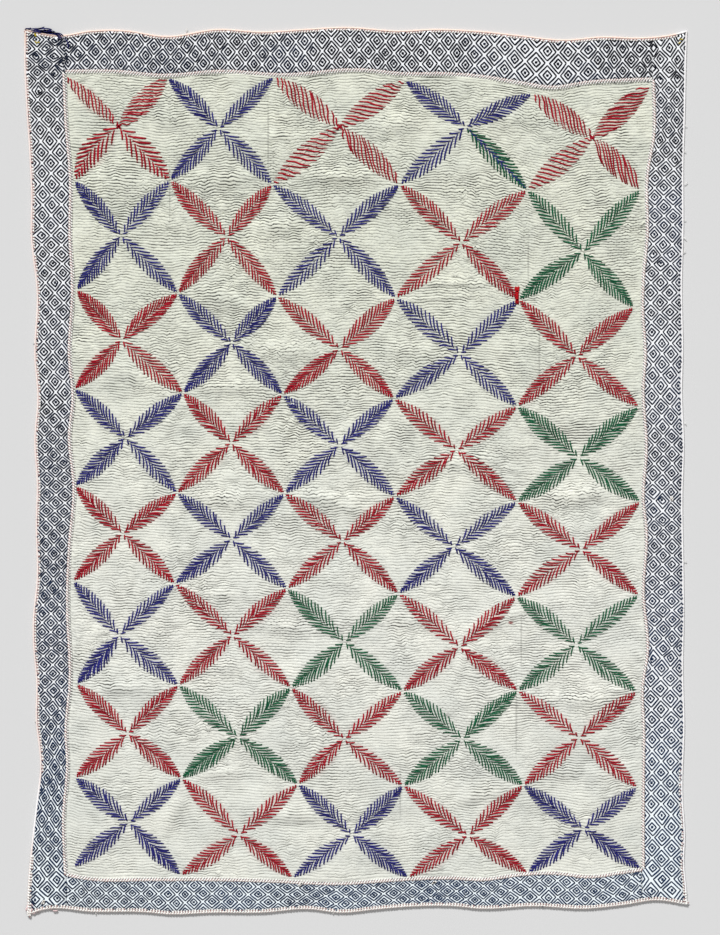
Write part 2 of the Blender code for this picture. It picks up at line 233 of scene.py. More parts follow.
# Pattern of each strip. pitch is (place, diamond length along the strip). columns is (place, share of the
# strip's width from its outer edge to the first column of diamonds, share from one column to the next but
# one). anchor is the place of one diamond in the first column. line is the share of the usual line width
STRIP_PATTERNS = {
    "border_left": {
        "pitch": (
            (-930, 39), (-832, 39), (-621, 42), (-410, 34), (-200, 34.5), (11, 32),
            (222, 41), (432, 38), (643, 44), (854, 32), (930, 32),
        ),
        "columns": (
            (-888, 0.20, 0.51), (-404, 0.21, 0.50), (-104, 0.245, 0.49), (346, 0.215, 0.51),
            (520, 0.24, 0.49), (700, 0.27, 0.47), (884, 0.28, 0.46),
        ),
        "anchor": -15,
        "line": 1.03,
    },
    "border_right": {
        "pitch": (
            (-930, 42), (-859, 42), (-643, 43), (-427, 41), (-211, 36), (4, 37),
            (220, 42.5), (436, 38), (652, 38), (868, 44), (930, 44),
        ),
        "columns": (
            (-868, 0.28, 0.48), (-389, 0.29, 0.48), (-89, 0.25, 0.48), (61, 0.28, 0.46),
            (400, 0.28, 0.50), (550, 0.235, 0.52), (881, 0.20, 0.56),
        ),
        "anchor": -4,
        "line": 0.98,
    },
    "border_top": {
        "pitch": (
            (-640, 34), (-577, 34), (-388, 33), (-199, 34), (-10, 36), (179, 35), (368, 44), (557, 32),
            (640, 32),
        ),
        "columns": ((-581, 0.24, 0.52), (593, 0.23, 0.51)),
        "anchor": 7,
        "line": 1.12,
    },
    "border_bottom": {
        "pitch": (
            (-640, 36), (-573, 36), (-380, 34), (-186, 39), (7, 38.5), (200, 35), (394, 38), (587, 35.5),
            (640, 35.5),
        ),
        "columns": (
            (-578, 0.29, 0.51), (-200, 0.29, 0.50), (47, 0.23, 0.51), (400, 0.255, 0.49), (573, 0.29, 0.50),
        ),
        "anchor": 18,
        "line": 0.90,
    },
}

# Spots where the border's stitches lose their pattern. Columns: x, y, radius
TANGLES = (
    (-608, 850, 42), (-640, 760, 26), (-582, 800, 26), (600, 850, 40), (596, 790, 26), (640, 800, 24),
    (-625, -850, 34), (-586, -812, 22), (612, -840, 34), (580, -800, 22), (600, 420, 20), (604, -70, 22),
    (602, -370, 20), (-646, 480, 14), (-646, 250, 14), (-646, -60, 14), (648, 620, 12), (-300, 872, 12),
    (470, 862, 14), (-20, -872, 14), (380, -864, 14),
)

# Worn white spots of the border. Columns: x, y, length, tilt in degrees
WORN_SPOTS = ((-113, -830, 12, 50), (153, -825, 9, 35), (631, -60, 9, 80), (-627, -866, 9, 60))

# Loose threads. Columns: x, y, length, heading in degrees, bow
RAVEL = (
    (-655, 882, 34, 10, -1), (-650, 880, 44, 4, -1), (-645, 881, 36, 4, 2), (-640, 879, 40, -2, 2),
    (-634, 881, 36, -12, -1), (-630, 877, 34, -6, 1), (-624, 883, 30, -18, -1), (-618, 881, 32, -22, 1),
    (-612, 878, 30, -18, 2), (-606, 877, 26, -26, -1), (-636, 875, 28, 6, 1), (-622, 876, 30, -14, 2),
    (-648, 877, 30, 2, 1), (-602, 873, 18, -40, 1), (-584, 865, 24, -62, 3), (-662, 881, 14, 20, 1),
)
YELLOW_BITS = (
    (-642, 876, 7, -80, 0), (-639, 874, 6, -95, 0), (-641, 860, 7, -70, 1), (-636, 858, 5, -30, 0),
    (647, 861, 8, 15, 1), (650, 857, 6, 200, 0),
)
FRAYED_CORNER = (
    (-655, -884, 16, 68, 1), (-652, -886, 17, 52, -1), (-649, -885, 15, 60, 2), (-646, -886, 14, 30, 1),
    (-640, -880, 13, 10, -1), (-630, -877, 12, 14, 1), (-650, -878, 18, 78, -2), (-618, -876, 12, 5, 1),
    (-606, -878, 11, -6, -1), (-657, -880, 12, 88, 1), (-643, -884, 12, 20, 1), (-636, -880, 9, 50, 0),
)
LOOSE_ENDS = (
    (655, 688, 8, 20, 1), (655, 640, 6, -30, 1), (655, 574, 9, 25, -1), (654, 466, 8, -20, 1),
    (654, 436, 7, 30, 1), (654, -182, 8, 10, 1), (-339, 878, 8, 70, 1), (541, 864, 8, 60, 1),
    (655, 500, 6, 40, 0), (656, 96, 6, -25, 1), (-46, -880, 7, -80, 1), (-520, -880, 7, -100, 1),
    (-646, -826, 7, 190, 1), (-638, -500, 5, 170, 1),
)

# Rows of small stitches beside a seam or the outer edge. Columns: inset to the left of it, length, lean and
# scatter of the lean
STITCH_ROWS = {
    "seam_bead": (-2.6, 8.0, 44, 9),
    "seam_dot": (1.2, 4.0, 20, 12),
    "seam_whip": (-2.6, 7.0, 50, 9),
    "edge_bead": (6.2, 4.8, 40, 25),
    "edge_whip": (5.2, 4.6, 46, 25),
    "roll_bead": (2.6, 6.0, 52, 10),
}

# Slanted leaves: which way their stitches lie, in degrees from the quilt's width, by cross column and leaf
SLANTS = {
    0: {"NW": -80, "NE": 4},
    2: {"NW": -77, "NE": -9, "SW": -8, "SE": -76},
    4: {"NW": -75, "NE": 8, "SW": -12, "SE": -76},
}


def linear(red, green, blue):
    """A colour given as 0 to 255 turned to the linear values that shaders take."""
    return tuple(
        c / 12.92 if c <= 0.04045 else ((c + 0.055) / 1.055) ** 2.4
        for c in (red / 255, green / 255, blue / 255)
    )


def colour_setting(name, description, value):
    return bpy.props.FloatVectorProperty(
        name=name, description=description, subtype="COLOR", size=3, min=0, max=1, default=linear(*value)
    )


def length_setting(name, description, value):
    return bpy.props.FloatProperty(
        name=name, description=description, default=value, min=0, precision=4, subtype="DISTANCE",
        unit="LENGTH",
    )


def count_setting(name, description, value, least):
    return bpy.props.IntProperty(name=name, description=description, default=value, min=least)


class QuiltSizes(bpy.types.PropertyGroup):
    """Sizes of the cloth and its stitches"""

    rim_height: length_setting("Rim height", "Thickness of the body under the border strips", 0.0020)
    ground_height: length_setting("Ground height", "Thickness of the quilted ground between puckers", 0.0027)
    strip_foot: length_setting("Strip foot", "Height of a border strip's underside", 0.0023)
    strip_top: length_setting("Strip top", "Height of a border strip's face", 0.0032)
    roll_radius: length_setting("Roll radius", "Half the width of the rolled outer edge", 0.0021)
    row_height: length_setting("Row height", "Height of a quilting row above its furrows", 0.00135)
    row_zigzag: length_setting("Row zigzag", "Swing of a furrow to each side between two stitches", 0.0009)
    crest_shift: length_setting("Crest shift", "How far a crest lies off the middle of its row", 0.0007)
    row_crinkle: length_setting("Row crinkle", "How far neighbouring quilting rows wave together", 0.0036)
    row_wander: length_setting("Row wander", "How far a quilting row strays from its line", 0.0019)
    thread_width: length_setting("Leaf thread width", "Width of the embroidery thread", 0.0033)
    thread_rise: length_setting("Leaf thread rise", "How far the embroidery thread stands up", 0.0013)
    leaf_half_width: length_setting("Leaf half width", "Half the width of an embroidered leaf", 0.0200)
    line_width: length_setting("Border line width", "Width of the dark stitched lines of the border", 0.0029)
    rows: count_setting("Quilting rows", "Rows of running stitch from top to bottom", 290, 20)
    columns: count_setting("Puffs in a row", "Stitches, and so puffs of cloth, in a quilting row", 108, 20)
    barbs: count_setting("Barbs", "Stitches on each side of a leaf", 15, 4)


class QuiltColours(bpy.types.PropertyGroup):
    """Colours of the cloth and threads"""

    ground: colour_setting("Ground", "Old white cotton of the ground", (239, 240, 234))
    # Grey of the painted shade in the furrows and along the creases of the ground
    furrow: colour_setting("Furrow", "Grey in the furrows between quilting rows", (74, 75, 70))
    strip: colour_setting("Strip", "Pale cotton of the border strips", (247, 249, 252))
    line: colour_setting("Border line", "Dark thread of the border pattern", (14, 17, 30))
    worn_line: colour_setting("Worn border line", "Border thread where it is faded", (34, 58, 94))
    red: colour_setting("Red thread", "Red embroidery thread", (156, 7, 32))
    knot: colour_setting("Knot thread", "Bright red thread of the knot", (190, 16, 26))
    blue: colour_setting("Blue thread", "Blue embroidery thread", (37, 36, 110))
    green: colour_setting("Green thread", "Green embroidery thread", (16, 90, 58))
    roll: colour_setting("Rolled edge", "Cream of the rolled edge", (238, 228, 222))
    top_roll: colour_setting("Top edge", "Orange pink of the rolled edge along the top", (240, 208, 190))
    whip: colour_setting("Whip stitch", "Dull pink of the small edge stitches", (186, 134, 130))
    bead: colour_setting("Bead stitch", "White of the seam's bead stitches", (250, 246, 240))
    yellow: colour_setting("Yellow thread", "Bits of yellow thread at two corners", (196, 176, 60))
    fray: colour_setting("Frayed corner", "Pinkish white of the frayed corner", (232, 206, 206))
    floor: colour_setting("Floor", "Pale studio floor", (208, 208, 208))


def sizes():
    return bpy.context.scene.quilt_sizes


def colours():
    return bpy.context.scene.quilt_colours


def soft_step(t):
    """A step from 0 to 1 that starts and ends level: 3t^2 - 2t^3."""
    t = np.clip(t, 0, 1)
    return t * t * (3 - 2 * t)


def along(table, at):
    """A smooth line through a two-column table: a cubic between rows, which keeps the slope of each row's
    neighbours."""
    place, value = np.array(table, float).T * MM
    slope = np.gradient(value, place)
    at = np.clip(np.asarray(at, float), place[0], place[-1])
    low = np.clip(np.searchsorted(place, at) - 1, 0, len(place) - 2)
    span = place[low + 1] - place[low]
    t = (at - place[low]) / span
    start = (1 + 2 * t) * (1 - t) ** 2 * value[low] + t * (1 - t) ** 2 * span * slope[low]
    end = t**2 * (3 - 2 * t) * value[low + 1] - t**2 * (1 - t) * span * slope[low + 1]
    return start + end


def noise(x, y, size, seed):
    """Soft noise from -1 to 1: seeded numbers on squares of one size, blended by soft steps. The squares are
    shifted, so that no two sizes share a corner at the quilt's middle."""
    cells, shift_x, shift_y = 256, 97.3, 61.7
    table = np.random.default_rng(seed).uniform(-1, 1, (cells, cells))
    gx, gy = np.broadcast_arrays(np.asarray(x, float) / size + shift_x, np.asarray(y, float) / size + shift_y)
    ix, iy = np.floor(gx).astype(int), np.floor(gy).astype(int)
    fx, fy = soft_step(gx - ix), soft_step(gy - iy)
    corner = [table[(ix + i) % cells, (iy + j) % cells] for i, j in ((0, 0), (1, 0), (0, 1), (1, 1))]
    low = corner[0] * (1 - fx) + corner[1] * fx
    high = corner[2] * (1 - fx) + corner[3] * fx
    return low * (1 - fy) + high * fy
def bumps(x, y, *layers):
    """Soft unevenness: the sum of noises given as (height, size, seed)."""
    return sum(height * noise(x, y, size, seed) for height, size, seed in layers)


def unit(vectors):
    """Vectors cut or drawn out to a length of 1."""
    return vectors / np.maximum(np.linalg.norm(vectors, axis=-1, keepdims=True), 1e-9)


def left_of(way):
    """Flat directions turned a quarter to the left."""
    return np.stack((-way[..., 1], way[..., 0]), axis=-1)


def heading_of(degrees):
    """The flat unit direction of each heading, anticlockwise from the quilt's width."""
    return np.stack((np.cos(np.radians(degrees)), np.sin(np.radians(degrees))), axis=-1)

def four_sided_patch(bottom, right, top, left, u, v):
    """A patch inside four edge tables: the blend of its sides less the blend of its corners."""
    bottom_a, bottom_b = bottom[0][0] * MM, bottom[-1][0] * MM
    top_a, top_b = top[0][0] * MM, top[-1][0] * MM
    left_a, left_b = left[0][0] * MM, left[-1][0] * MM
    right_a, right_b = right[0][0] * MM, right[-1][0] * MM
    bottom_x = bottom_a + (bottom_b - bottom_a) * u
    top_x = top_a + (top_b - top_a) * u
    left_y = left_a + (left_b - left_a) * v
    right_y = right_a + (right_b - right_a) * v
    left_x = along(left, left_y) - ((1 - v) * bottom_a + v * top_a)
    right_x = along(right, right_y) - ((1 - v) * bottom_b + v * top_b)
    bottom_y = along(bottom, bottom_x) - ((1 - u) * left_a + u * right_a)
    top_y = along(top, top_x) - ((1 - u) * left_b + u * right_b)
    x = (1 - v) * bottom_x + v * top_x + (1 - u) * left_x + u * right_x
    y = (1 - u) * left_y + u * right_y + (1 - v) * bottom_y + v * top_y
    return x, y


def ridges(table, x, y):
    """Height of the table's soft ridges: each a bell across and a bell along its tilted line. Also how far
    they part the rows: the height times the distance across, so that rows spread away from each line."""
    total, parted = np.zeros(np.shape(x)), np.zeros(np.shape(x))
    for middle_x, middle_y, half_length, half_width, tilt, height in table:
        turn = math.radians(tilt)
        dx, dy = x - middle_x * MM, y - middle_y * MM
        run = (dx * math.cos(turn) + dy * math.sin(turn)) / (half_length * MM)
        cross = (dy * math.cos(turn) - dx * math.sin(turn)) / (half_width * MM)
        bell = height * MM * np.exp(-(run**2) - cross**2)
        total, parted = total + bell, parted + cross * bell
    return total, parted


def cloth_height(x, y):
    """Height of the ground between its rows: its thickness, puckers, fold lines and soft bumps, easing to the
    rim at each seam. Round the knot the puckers fade out."""
    s = sizes()
    from_knot = np.hypot(x - KNOT_MIDDLE[0], y - KNOT_MIDDLE[1]) / KNOT_FLAT_RADIUS
    puckers = ridges(PUCKERS, x, y)[0] * soft_step(from_knot - 0.3)
    puffs = bumps(x, y, (0.0011, 0.045, 5), (0.0004, 0.021, 6), (0.0016, 0.09, 7))
    raised = s.ground_height - s.rim_height + puckers + ridges(FOLD_LINES, x, y)[0] + puffs
    from_side = np.minimum(x - along(SEAM_LEFT, y), along(SEAM_RIGHT, y) - x)
    from_end = np.minimum(y - along(SEAM_BOTTOM, x), along(SEAM_TOP, x) - y)
    ease = 0.0018
    return s.rim_height + np.maximum(raised, 0.0) * soft_step(np.minimum(from_side, from_end) / ease)


def new_piece(name, points, faces, material, uv=None, facts=None, nodes=(), creased=None):
    """A mesh object from whole arrays: points, lists of faces by corner count, and values for each point.
    creased marks points, and an edge between two of them is a sharp crease."""
    points = np.asarray(points, float).reshape(-1, 3)
    faces = [np.asarray(f) for f in faces if len(f)]
    corners = np.concatenate([f.ravel() for f in faces]).astype(np.int32)
    totals = np.concatenate([np.full(len(f), f.shape[1]) for f in faces])
    starts = np.concatenate(([0], np.cumsum(totals)[:-1])).astype(np.int32)
    mesh = bpy.data.meshes.new(name)
    mesh.vertices.add(len(points))
    mesh.vertices.foreach_set("co", points.ravel())
    mesh.loops.add(len(corners))
    mesh.loops.foreach_set("vertex_index", corners)
    mesh.polygons.add(len(totals))
    mesh.polygons.foreach_set("loop_start", starts)
    mesh.polygons.foreach_set("use_smooth", np.ones(len(totals), bool))
    mesh.update(calc_edges=True)
    if mesh.validate():
        raise RuntimeError(f"{name}: the mesh had faults")
    if uv is not None:
        layer = mesh.uv_layers.new(name="UVMap")
        layer.data.foreach_set("uv", np.asarray(uv, float).reshape(-1, 2)[corners].ravel())
    if creased is not None:
        ends = np.empty(len(mesh.edges) * 2, np.int32)
        mesh.edges.foreach_get("vertices", ends)
        crease = mesh.attributes.new("sharp_edge", "BOOLEAN", "EDGE")
        crease.data.foreach_set("value", np.asarray(creased, bool)[ends.reshape(-1, 2)].all(axis=1))
    for key, value in (facts or {}).items():
        field = mesh.attributes.new(key, "FLOAT", "POINT")
        field.data.foreach_set("value", np.asarray(value, float).ravel())
    mesh.materials.append(material)
    piece = bpy.data.objects.new(name, mesh)
    bpy.context.scene.collection.objects.link(piece)
    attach(piece, "root")
    for node in nodes:
        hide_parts(node)
    return piece


def grid_faces(rows, columns):
    """Four-cornered faces of a grid whose points run row by row."""
    index = np.arange(rows * columns).reshape(rows, columns)
    return np.stack((index[:-1, :-1], index[:-1, 1:], index[1:, 1:], index[1:, :-1]), axis=-1).reshape(-1, 4)


def grid_border(rows, columns):
    """The points round a grid, anticlockwise where rows run up and columns run to the right."""
    index = np.arange(rows * columns).reshape(rows, columns)
    return np.concatenate((index[0, :-1], index[:-1, -1], index[-1, :0:-1], index[:0:-1, 0]))


def ring_faces(low, high):
    """Four-cornered faces between two closed rings of points."""
    return np.column_stack((low, np.roll(low, -1), np.roll(high, -1), high))


def side_lines(bottom, right, top, left, count):
    """The four sides of a patch as lines of (x, y) points, anticlockwise from the bottom left corner. count
    gives the number of points on a side from its length."""
    sides = []
    for table, upright, back in (
        (bottom, False, False), (right, True, False), (top, False, True), (left, True, True),
    ):
        start, stop = table[0][0] * MM, table[-1][0] * MM
        place = np.linspace(start, stop, count(stop - start))
        value = along(table, place)
        side = np.column_stack((value, place) if upright else (place, value))
        sides.append(side[::-1] if back else side)
    return sides


def outline(step):
    """The quilt's outer edge as (x, y) points, anticlockwise from the bottom left corner."""
    sides = side_lines(EDGE_BOTTOM, EDGE_RIGHT, EDGE_TOP, EDGE_LEFT, lambda length: round(length / step) + 1)
    return np.concatenate([side[:-1] for side in sides])


def inward_normals(ring):
    """The unit direction inwards at each point of an anticlockwise closed line."""
    return left_of(unit(np.roll(ring, -1, axis=0) - np.roll(ring, 1, axis=0)))


def strip_tables(name):
    """The edge and seam tables of a strip, and the way from its edge to its seam along X or Y."""
    return {
        "border_left": (EDGE_LEFT, SEAM_LEFT, 1),
        "border_right": (EDGE_RIGHT, SEAM_RIGHT, -1),
        "border_top": (EDGE_TOP, SEAM_TOP, -1),
        "border_bottom": (EDGE_BOTTOM, SEAM_BOTTOM, 1),
    }[name]


def strip_place(name, place, share):
    """Points on a strip: place runs along X or Y, share from 0 at the outer edge to 1 at the seam."""
    edge, seam, way = strip_tables(name)
    value = (along(edge, place) + way * STRIP_INSET) * (1 - share) + along(seam, place) * share
    return (value, place) if name in UPRIGHT_STRIPS else (place, value)


def strip_ends(name, share):
    """Where a strip starts and stops at a share of its width: at the outer edge, or at the side strips."""
    if name in UPRIGHT_STRIPS:
        edge, seam, way = strip_tables(name)
        foot, head = (
            (edge[i][1] * MM + way * STRIP_END_INSET) * (1 - share) + seam[i][1] * MM * share for i in (0, -1)
        )
        return along(EDGE_BOTTOM, foot) + STRIP_END_INSET, along(EDGE_TOP, head) - STRIP_END_INSET
    corner = -1 if name == "border_top" else 0
    whole = np.ones(np.shape(share))
    return (SEAM_LEFT[corner][1] * MM + BUTT_GAP) * whole, (SEAM_RIGHT[corner][1] * MM - BUTT_GAP) * whole


def strip_height(x, y):
    """Height of a strip's face: its thickness and a slight unevenness."""
    return sizes().strip_top + bumps(x, y, (0.00025, 0.03, 11), (0.0002, 0.011, 12))


def stitches(name, start, stop, surface, width, rise, material, slot, bow=0.0, snake=0.0, tone=0.5, rings=3,
             sides=4, nodes=()):
    """Raised stitches as one piece. Each is a tube on a line from start to stop, bent aside by
    bow x sin(pi t) + snake x sin(2 pi t), full and level between blunt ends that dip into the cloth.
    surface gives the cloth's height at x, y. Widths, rises, bends and tones may be one a stitch."""
    start, stop = np.asarray(start, float), np.asarray(stop, float)
    count = len(start)
    whole = np.ones((count, 1))
    dip, centre = 0.0002, 0.42

    def each(value):
        return np.broadcast_to(np.asarray(value, float), (count,))[:, None]

    side = left_of(unit(stop - start))
    t = np.concatenate(([0.0], np.linspace(0.05, 0.95, rings), [1.0]))[None, :]
    # The first and last rings are narrower and half as high
    full, lift = np.ones(rings), np.ones(rings)
    full[[0, -1]] = 0.72, 0.9
    lift[[0, -1]] = 0.5
    aside = each(bow) * np.sin(math.pi * t) + each(snake) * np.sin(math.tau * t)
    line = start[:, None, :] + (stop - start)[:, None, :] * t[..., None] + side[:, None, :] * aside[..., None]
    foot = surface(line[..., 0], line[..., 1])
    angle = math.tau * (np.arange(sides) + 0.5) / sides + math.pi / 2
    half = (each(width) / 2 * full)[..., None] / np.max(np.cos(angle))
    up = (each(rise) * lift)[..., None]
    ring_xy = line[:, 1:-1, None, :] + side[:, None, None, :] * (half * np.cos(angle))[..., None]
    ring_z = foot[:, 1:-1, None] + up * (centre + (1 - centre) * np.sin(angle))
    ring = np.concatenate((ring_xy, ring_z[..., None]), axis=-1).reshape(count, -1, 3)
    tip = np.dstack((line[:, [0, -1]], foot[:, [0, -1]] - dip))
    points = np.concatenate((ring, tip), axis=1)
    per = rings * sides + 2
    base = np.arange(count)[:, None] * per
    quads, tips = [], []
    for k in range(sides):
        after = (k + 1) % sides
        for r in range(rings - 1):
            low, high = r * sides, (r + 1) * sides
            quads.append(base + np.array([[low + k, low + after, high + after, high + k]]))
        tips.append(base + np.array([[per - 2, after, k]]))
        tips.append(base + np.array([[per - 1, (rings - 1) * sides + k, (rings - 1) * sides + after]]))
    share = np.concatenate((np.repeat(t[:, 1:-1], sides, axis=1), [[0.0, 1.0]]), axis=1) * whole
    turn = np.concatenate((np.tile(np.arange(sides) / sides, rings), (0.0, 0.0)))[None, :] * whole
    uv = np.dstack((share * np.linalg.norm(stop - start, axis=1)[:, None], turn))
    facts = {"tone": each(tone) * np.ones((1, per)), "share": share}
    faces = [np.concatenate(quads), np.concatenate(tips)]
    new_piece(name, points, faces, material, uv, facts, nodes)


# Materials


def add_node(tree, kind, values=None, **settings):
    """A shader node with its settings. Each input is given a value, or a link where the value is a socket."""
    node = tree.nodes.new(kind)
    for key, value in settings.items():
        setattr(node, key, value)
    for key, value in (values or {}).items():
        if isinstance(value, bpy.types.NodeSocket):
            tree.links.new(value, node.inputs[key])
        else:
            node.inputs[key].default_value = value
    return node


def calc(tree, operation, *values):
    """A maths node on sockets or numbers."""
    return add_node(tree, "ShaderNodeMath", dict(enumerate(values)), operation=operation).outputs[0]


def times(tree, first, second):
    """The product of two sockets or numbers."""
    return calc(tree, "MULTIPLY", first, second)


def vector_calc(tree, operation, *values):
    """A vector maths node on sockets or vectors."""
    return add_node(tree, "ShaderNodeVectorMath", dict(enumerate(values)), operation=operation).outputs


def parts_of(tree, vector):
    """The X, Y and Z of a vector."""
    return add_node(tree, "ShaderNodeSeparateXYZ", {0: vector}).outputs


def noise_at(tree, vector, scale, **more):
    """Soft noise at a vector."""
    return add_node(tree, "ShaderNodeTexNoise", {"Vector": vector, "Scale": scale, **more}).outputs[0]


def ramp(tree, value, start, stop, shape="LINEAR"):
    """A value turned to 0 at start and 1 at stop."""
    values = {"Value": value, "From Min": start, "From Max": stop}
    return add_node(tree, "ShaderNodeMapRange", values, interpolation_type=shape).outputs[0]


def fact(tree, name):
    """A value that the mesh's points carry."""
    return add_node(tree, "ShaderNodeAttribute", attribute_name=name).outputs["Fac"]


def blend(tree, share, first, second, mode="MIX"):
    """A mix of two colours, given as sockets or as three numbers."""
    values = {"Factor": share}
    for key, colour in (("A", first), ("B", second)):
        values[key] = colour if isinstance(colour, bpy.types.NodeSocket) else (*colour, 1.0)
    return add_node(tree, "ShaderNodeMix", values, data_type="RGBA", blend_type=mode).outputs["Result"]


def overlay(tree, base, mask, strength, colour):
    """A colour laid over the base where a mask is, at a strength."""
    return blend(tree, times(tree, mask, strength), base, colour)


def new_group(name, numbers, outputs):
    """An empty shader group: a vector and named numbers go in, and named numbers come out."""
    group = bpy.data.node_groups.new(name, "ShaderNodeTree")
    group.interface.new_socket("Vector", in_out="INPUT", socket_type="NodeSocketVector")
    for label, usual in numbers.items():
        group.interface.new_socket(label, in_out="INPUT", socket_type="NodeSocketFloat").default_value = usual
    for label in outputs:
        group.interface.new_socket(label, in_out="OUTPUT", socket_type="NodeSocketFloat")
    return group, group.nodes.new("NodeGroupInput").outputs, group.nodes.new("NodeGroupOutput").inputs


def weave_group():
    """Plain weave: two crossed waves, each seen where the other dips, with uneven yarns."""
    group, given, put = new_group("Plain weave", {"Yarns a metre": 900.0}, ("Height", "Shade"))
    values = {0: given["Vector"], "Scale": given["Yarns a metre"]}
    spread = add_node(group, "ShaderNodeVectorMath", values, operation="SCALE").outputs[0]
    waves = [calc(group, "SINE", times(group, parts_of(group, spread)[axis], math.pi)) for axis in ("X", "Y")]
    height = calc(group, "ABSOLUTE", times(group, *waves))
    slub = noise_at(group, spread, 0.35, Detail=3.0)
    shade = calc(group, "ADD", times(group, height, 0.5), times(group, slub, 0.5))
    group.links.new(height, put["Height"])
    group.links.new(shade, put["Shade"])
    return group


def furrow_shade_group():
    """Painted shade in the furrows: a thin line where the furrow value nears 1, broken and thinned by noise,
    and a soft shade over the whole hollow.
    """
    group, given, put = new_group("Furrow shade lines", {"Furrow": 0.0, "Width": 0.3}, ("Line", "Hollow shade"))
    stretched = vector_calc(group, "MULTIPLY", given["Vector"], (0.35, 1.0, 1.0))[0]
    streaks = times(group, noise_at(group, stretched, 170.0, Detail=3.0), 0.6)
    zones = times(group, noise_at(group, given["Vector"], 22.0), 0.4)
    strength = ramp(group, calc(group, "ADD", streaks, zones), 0.40, 0.56)
    edge = calc(group, "SUBTRACT", 1.0, given["Width"])
    near = calc(group, "DIVIDE", calc(group, "SUBTRACT", given["Furrow"], edge), given["Width"])
    near = calc(group, "MINIMUM", calc(group, "MAXIMUM", times(group, near, 3.0), 0.0), 1.0)
    group.links.new(times(group, near, strength), put["Line"])
    group.links.new(calc(group, "POWER", given["Furrow"], 2.0), put["Hollow shade"])
    return group


def twist_group():
    """Twisted thread: slanted ply lines that run round each stitch, and a soft fuzz of colour."""
    group, given, put = new_group("Twisted thread", {"Turns a metre": 700.0}, ("Height", "Shade"))
    place = parts_of(group, given["Vector"])
    slant = calc(group, "ADD", times(group, place["X"], given["Turns a metre"]), place["Y"])
    ply = calc(group, "ABSOLUTE", calc(group, "SINE", times(group, slant, math.tau)))
    fuzz = noise_at(group, given["Vector"], 450.0)
    group.links.new(ply, put["Height"])
    group.links.new(times(group, calc(group, "ADD", ply, fuzz), 0.5), put["Shade"])
    return group


def mottle_group():
    """Uneven washing and wear: broad patches and, forty times finer, small specks, of one noise each."""
    group, given, put = new_group("Washed mottle", {"Patches a metre": 9.0}, ("Patch", "Speck"))
    coarse, fine = given["Patches a metre"], times(group, given["Patches a metre"], 40.0)
    group.links.new(noise_at(group, given["Vector"], coarse, Detail=4.0, Roughness=0.6), put["Patch"])
    group.links.new(noise_at(group, given["Vector"], fine), put["Speck"])
    return group


GROUPS = {
    "Plain weave": weave_group,
    "Furrow shade lines": furrow_shade_group,
    "Twisted thread": twist_group,
    "Washed mottle": mottle_group,
}


def use_group(tree, name, vector, **values):
    """Places a shared group, made at its first use, on a vector socket."""
    group = bpy.data.node_groups.get(name) or GROUPS[name]()
    inputs = {"Vector": vector, **{key.replace("_", " "): value for key, value in values.items()}}
    return add_node(tree, "ShaderNodeGroup", inputs, node_tree=group).outputs


def new_material(name, roughness, sheen=0.0, shine=0.25):
    """An empty fabric material: its tree, its shader and its texture coordinates."""
    material = bpy.data.materials.new(name)
    material.use_nodes = True
    tree = material.node_tree
    shader = tree.nodes["Principled BSDF"]
    shader.inputs["Roughness"].default_value = roughness
    shader.inputs["Specular IOR Level"].default_value = shine
    shader.inputs["Sheen Weight"].default_value = sheen
    shader.inputs["Sheen Roughness"].default_value = 0.5
    return material, tree, shader, add_node(tree, "ShaderNodeTexCoord").outputs


def finish_material(tree, shader, base, height, strength, depth):
    """Gives the shader its colour, and a bump for its weave or twist."""
    bump = add_node(tree, "ShaderNodeBump", {"Height": height, "Strength": strength, "Distance": depth})
    tree.links.new(bump.outputs[0], shader.inputs["Normal"])
    tree.links.new(base, shader.inputs["Base Color"])


def spot_mask(tree, position, spot):
    """A soft-edged oval mask of an object position, ragged by noise: 1 inside, 0 outside. A spot is its
    middle x and y, and half its size along each, in millimetres."""
    x, y, half_x, half_y = np.array(spot) * MM
    moved = vector_calc(tree, "SUBTRACT", position, (x, y, 0.0))[0]
    scaled = vector_calc(tree, "MULTIPLY", moved, (1 / half_x, 1 / half_y, 0.0))[0]
    far = vector_calc(tree, "LENGTH", scaled)["Value"]
    return ramp(tree, calc(tree, "ADD", far, noise_at(tree, position, 300.0)), 1.7, 1.0)


def side_mask(tree, position, axis, start, stop):
    """A mask that rises softly from 0 at start to 1 at stop along one axis of an object position."""
    return ramp(tree, parts_of(tree, position)[axis], start, stop, "SMOOTHSTEP")


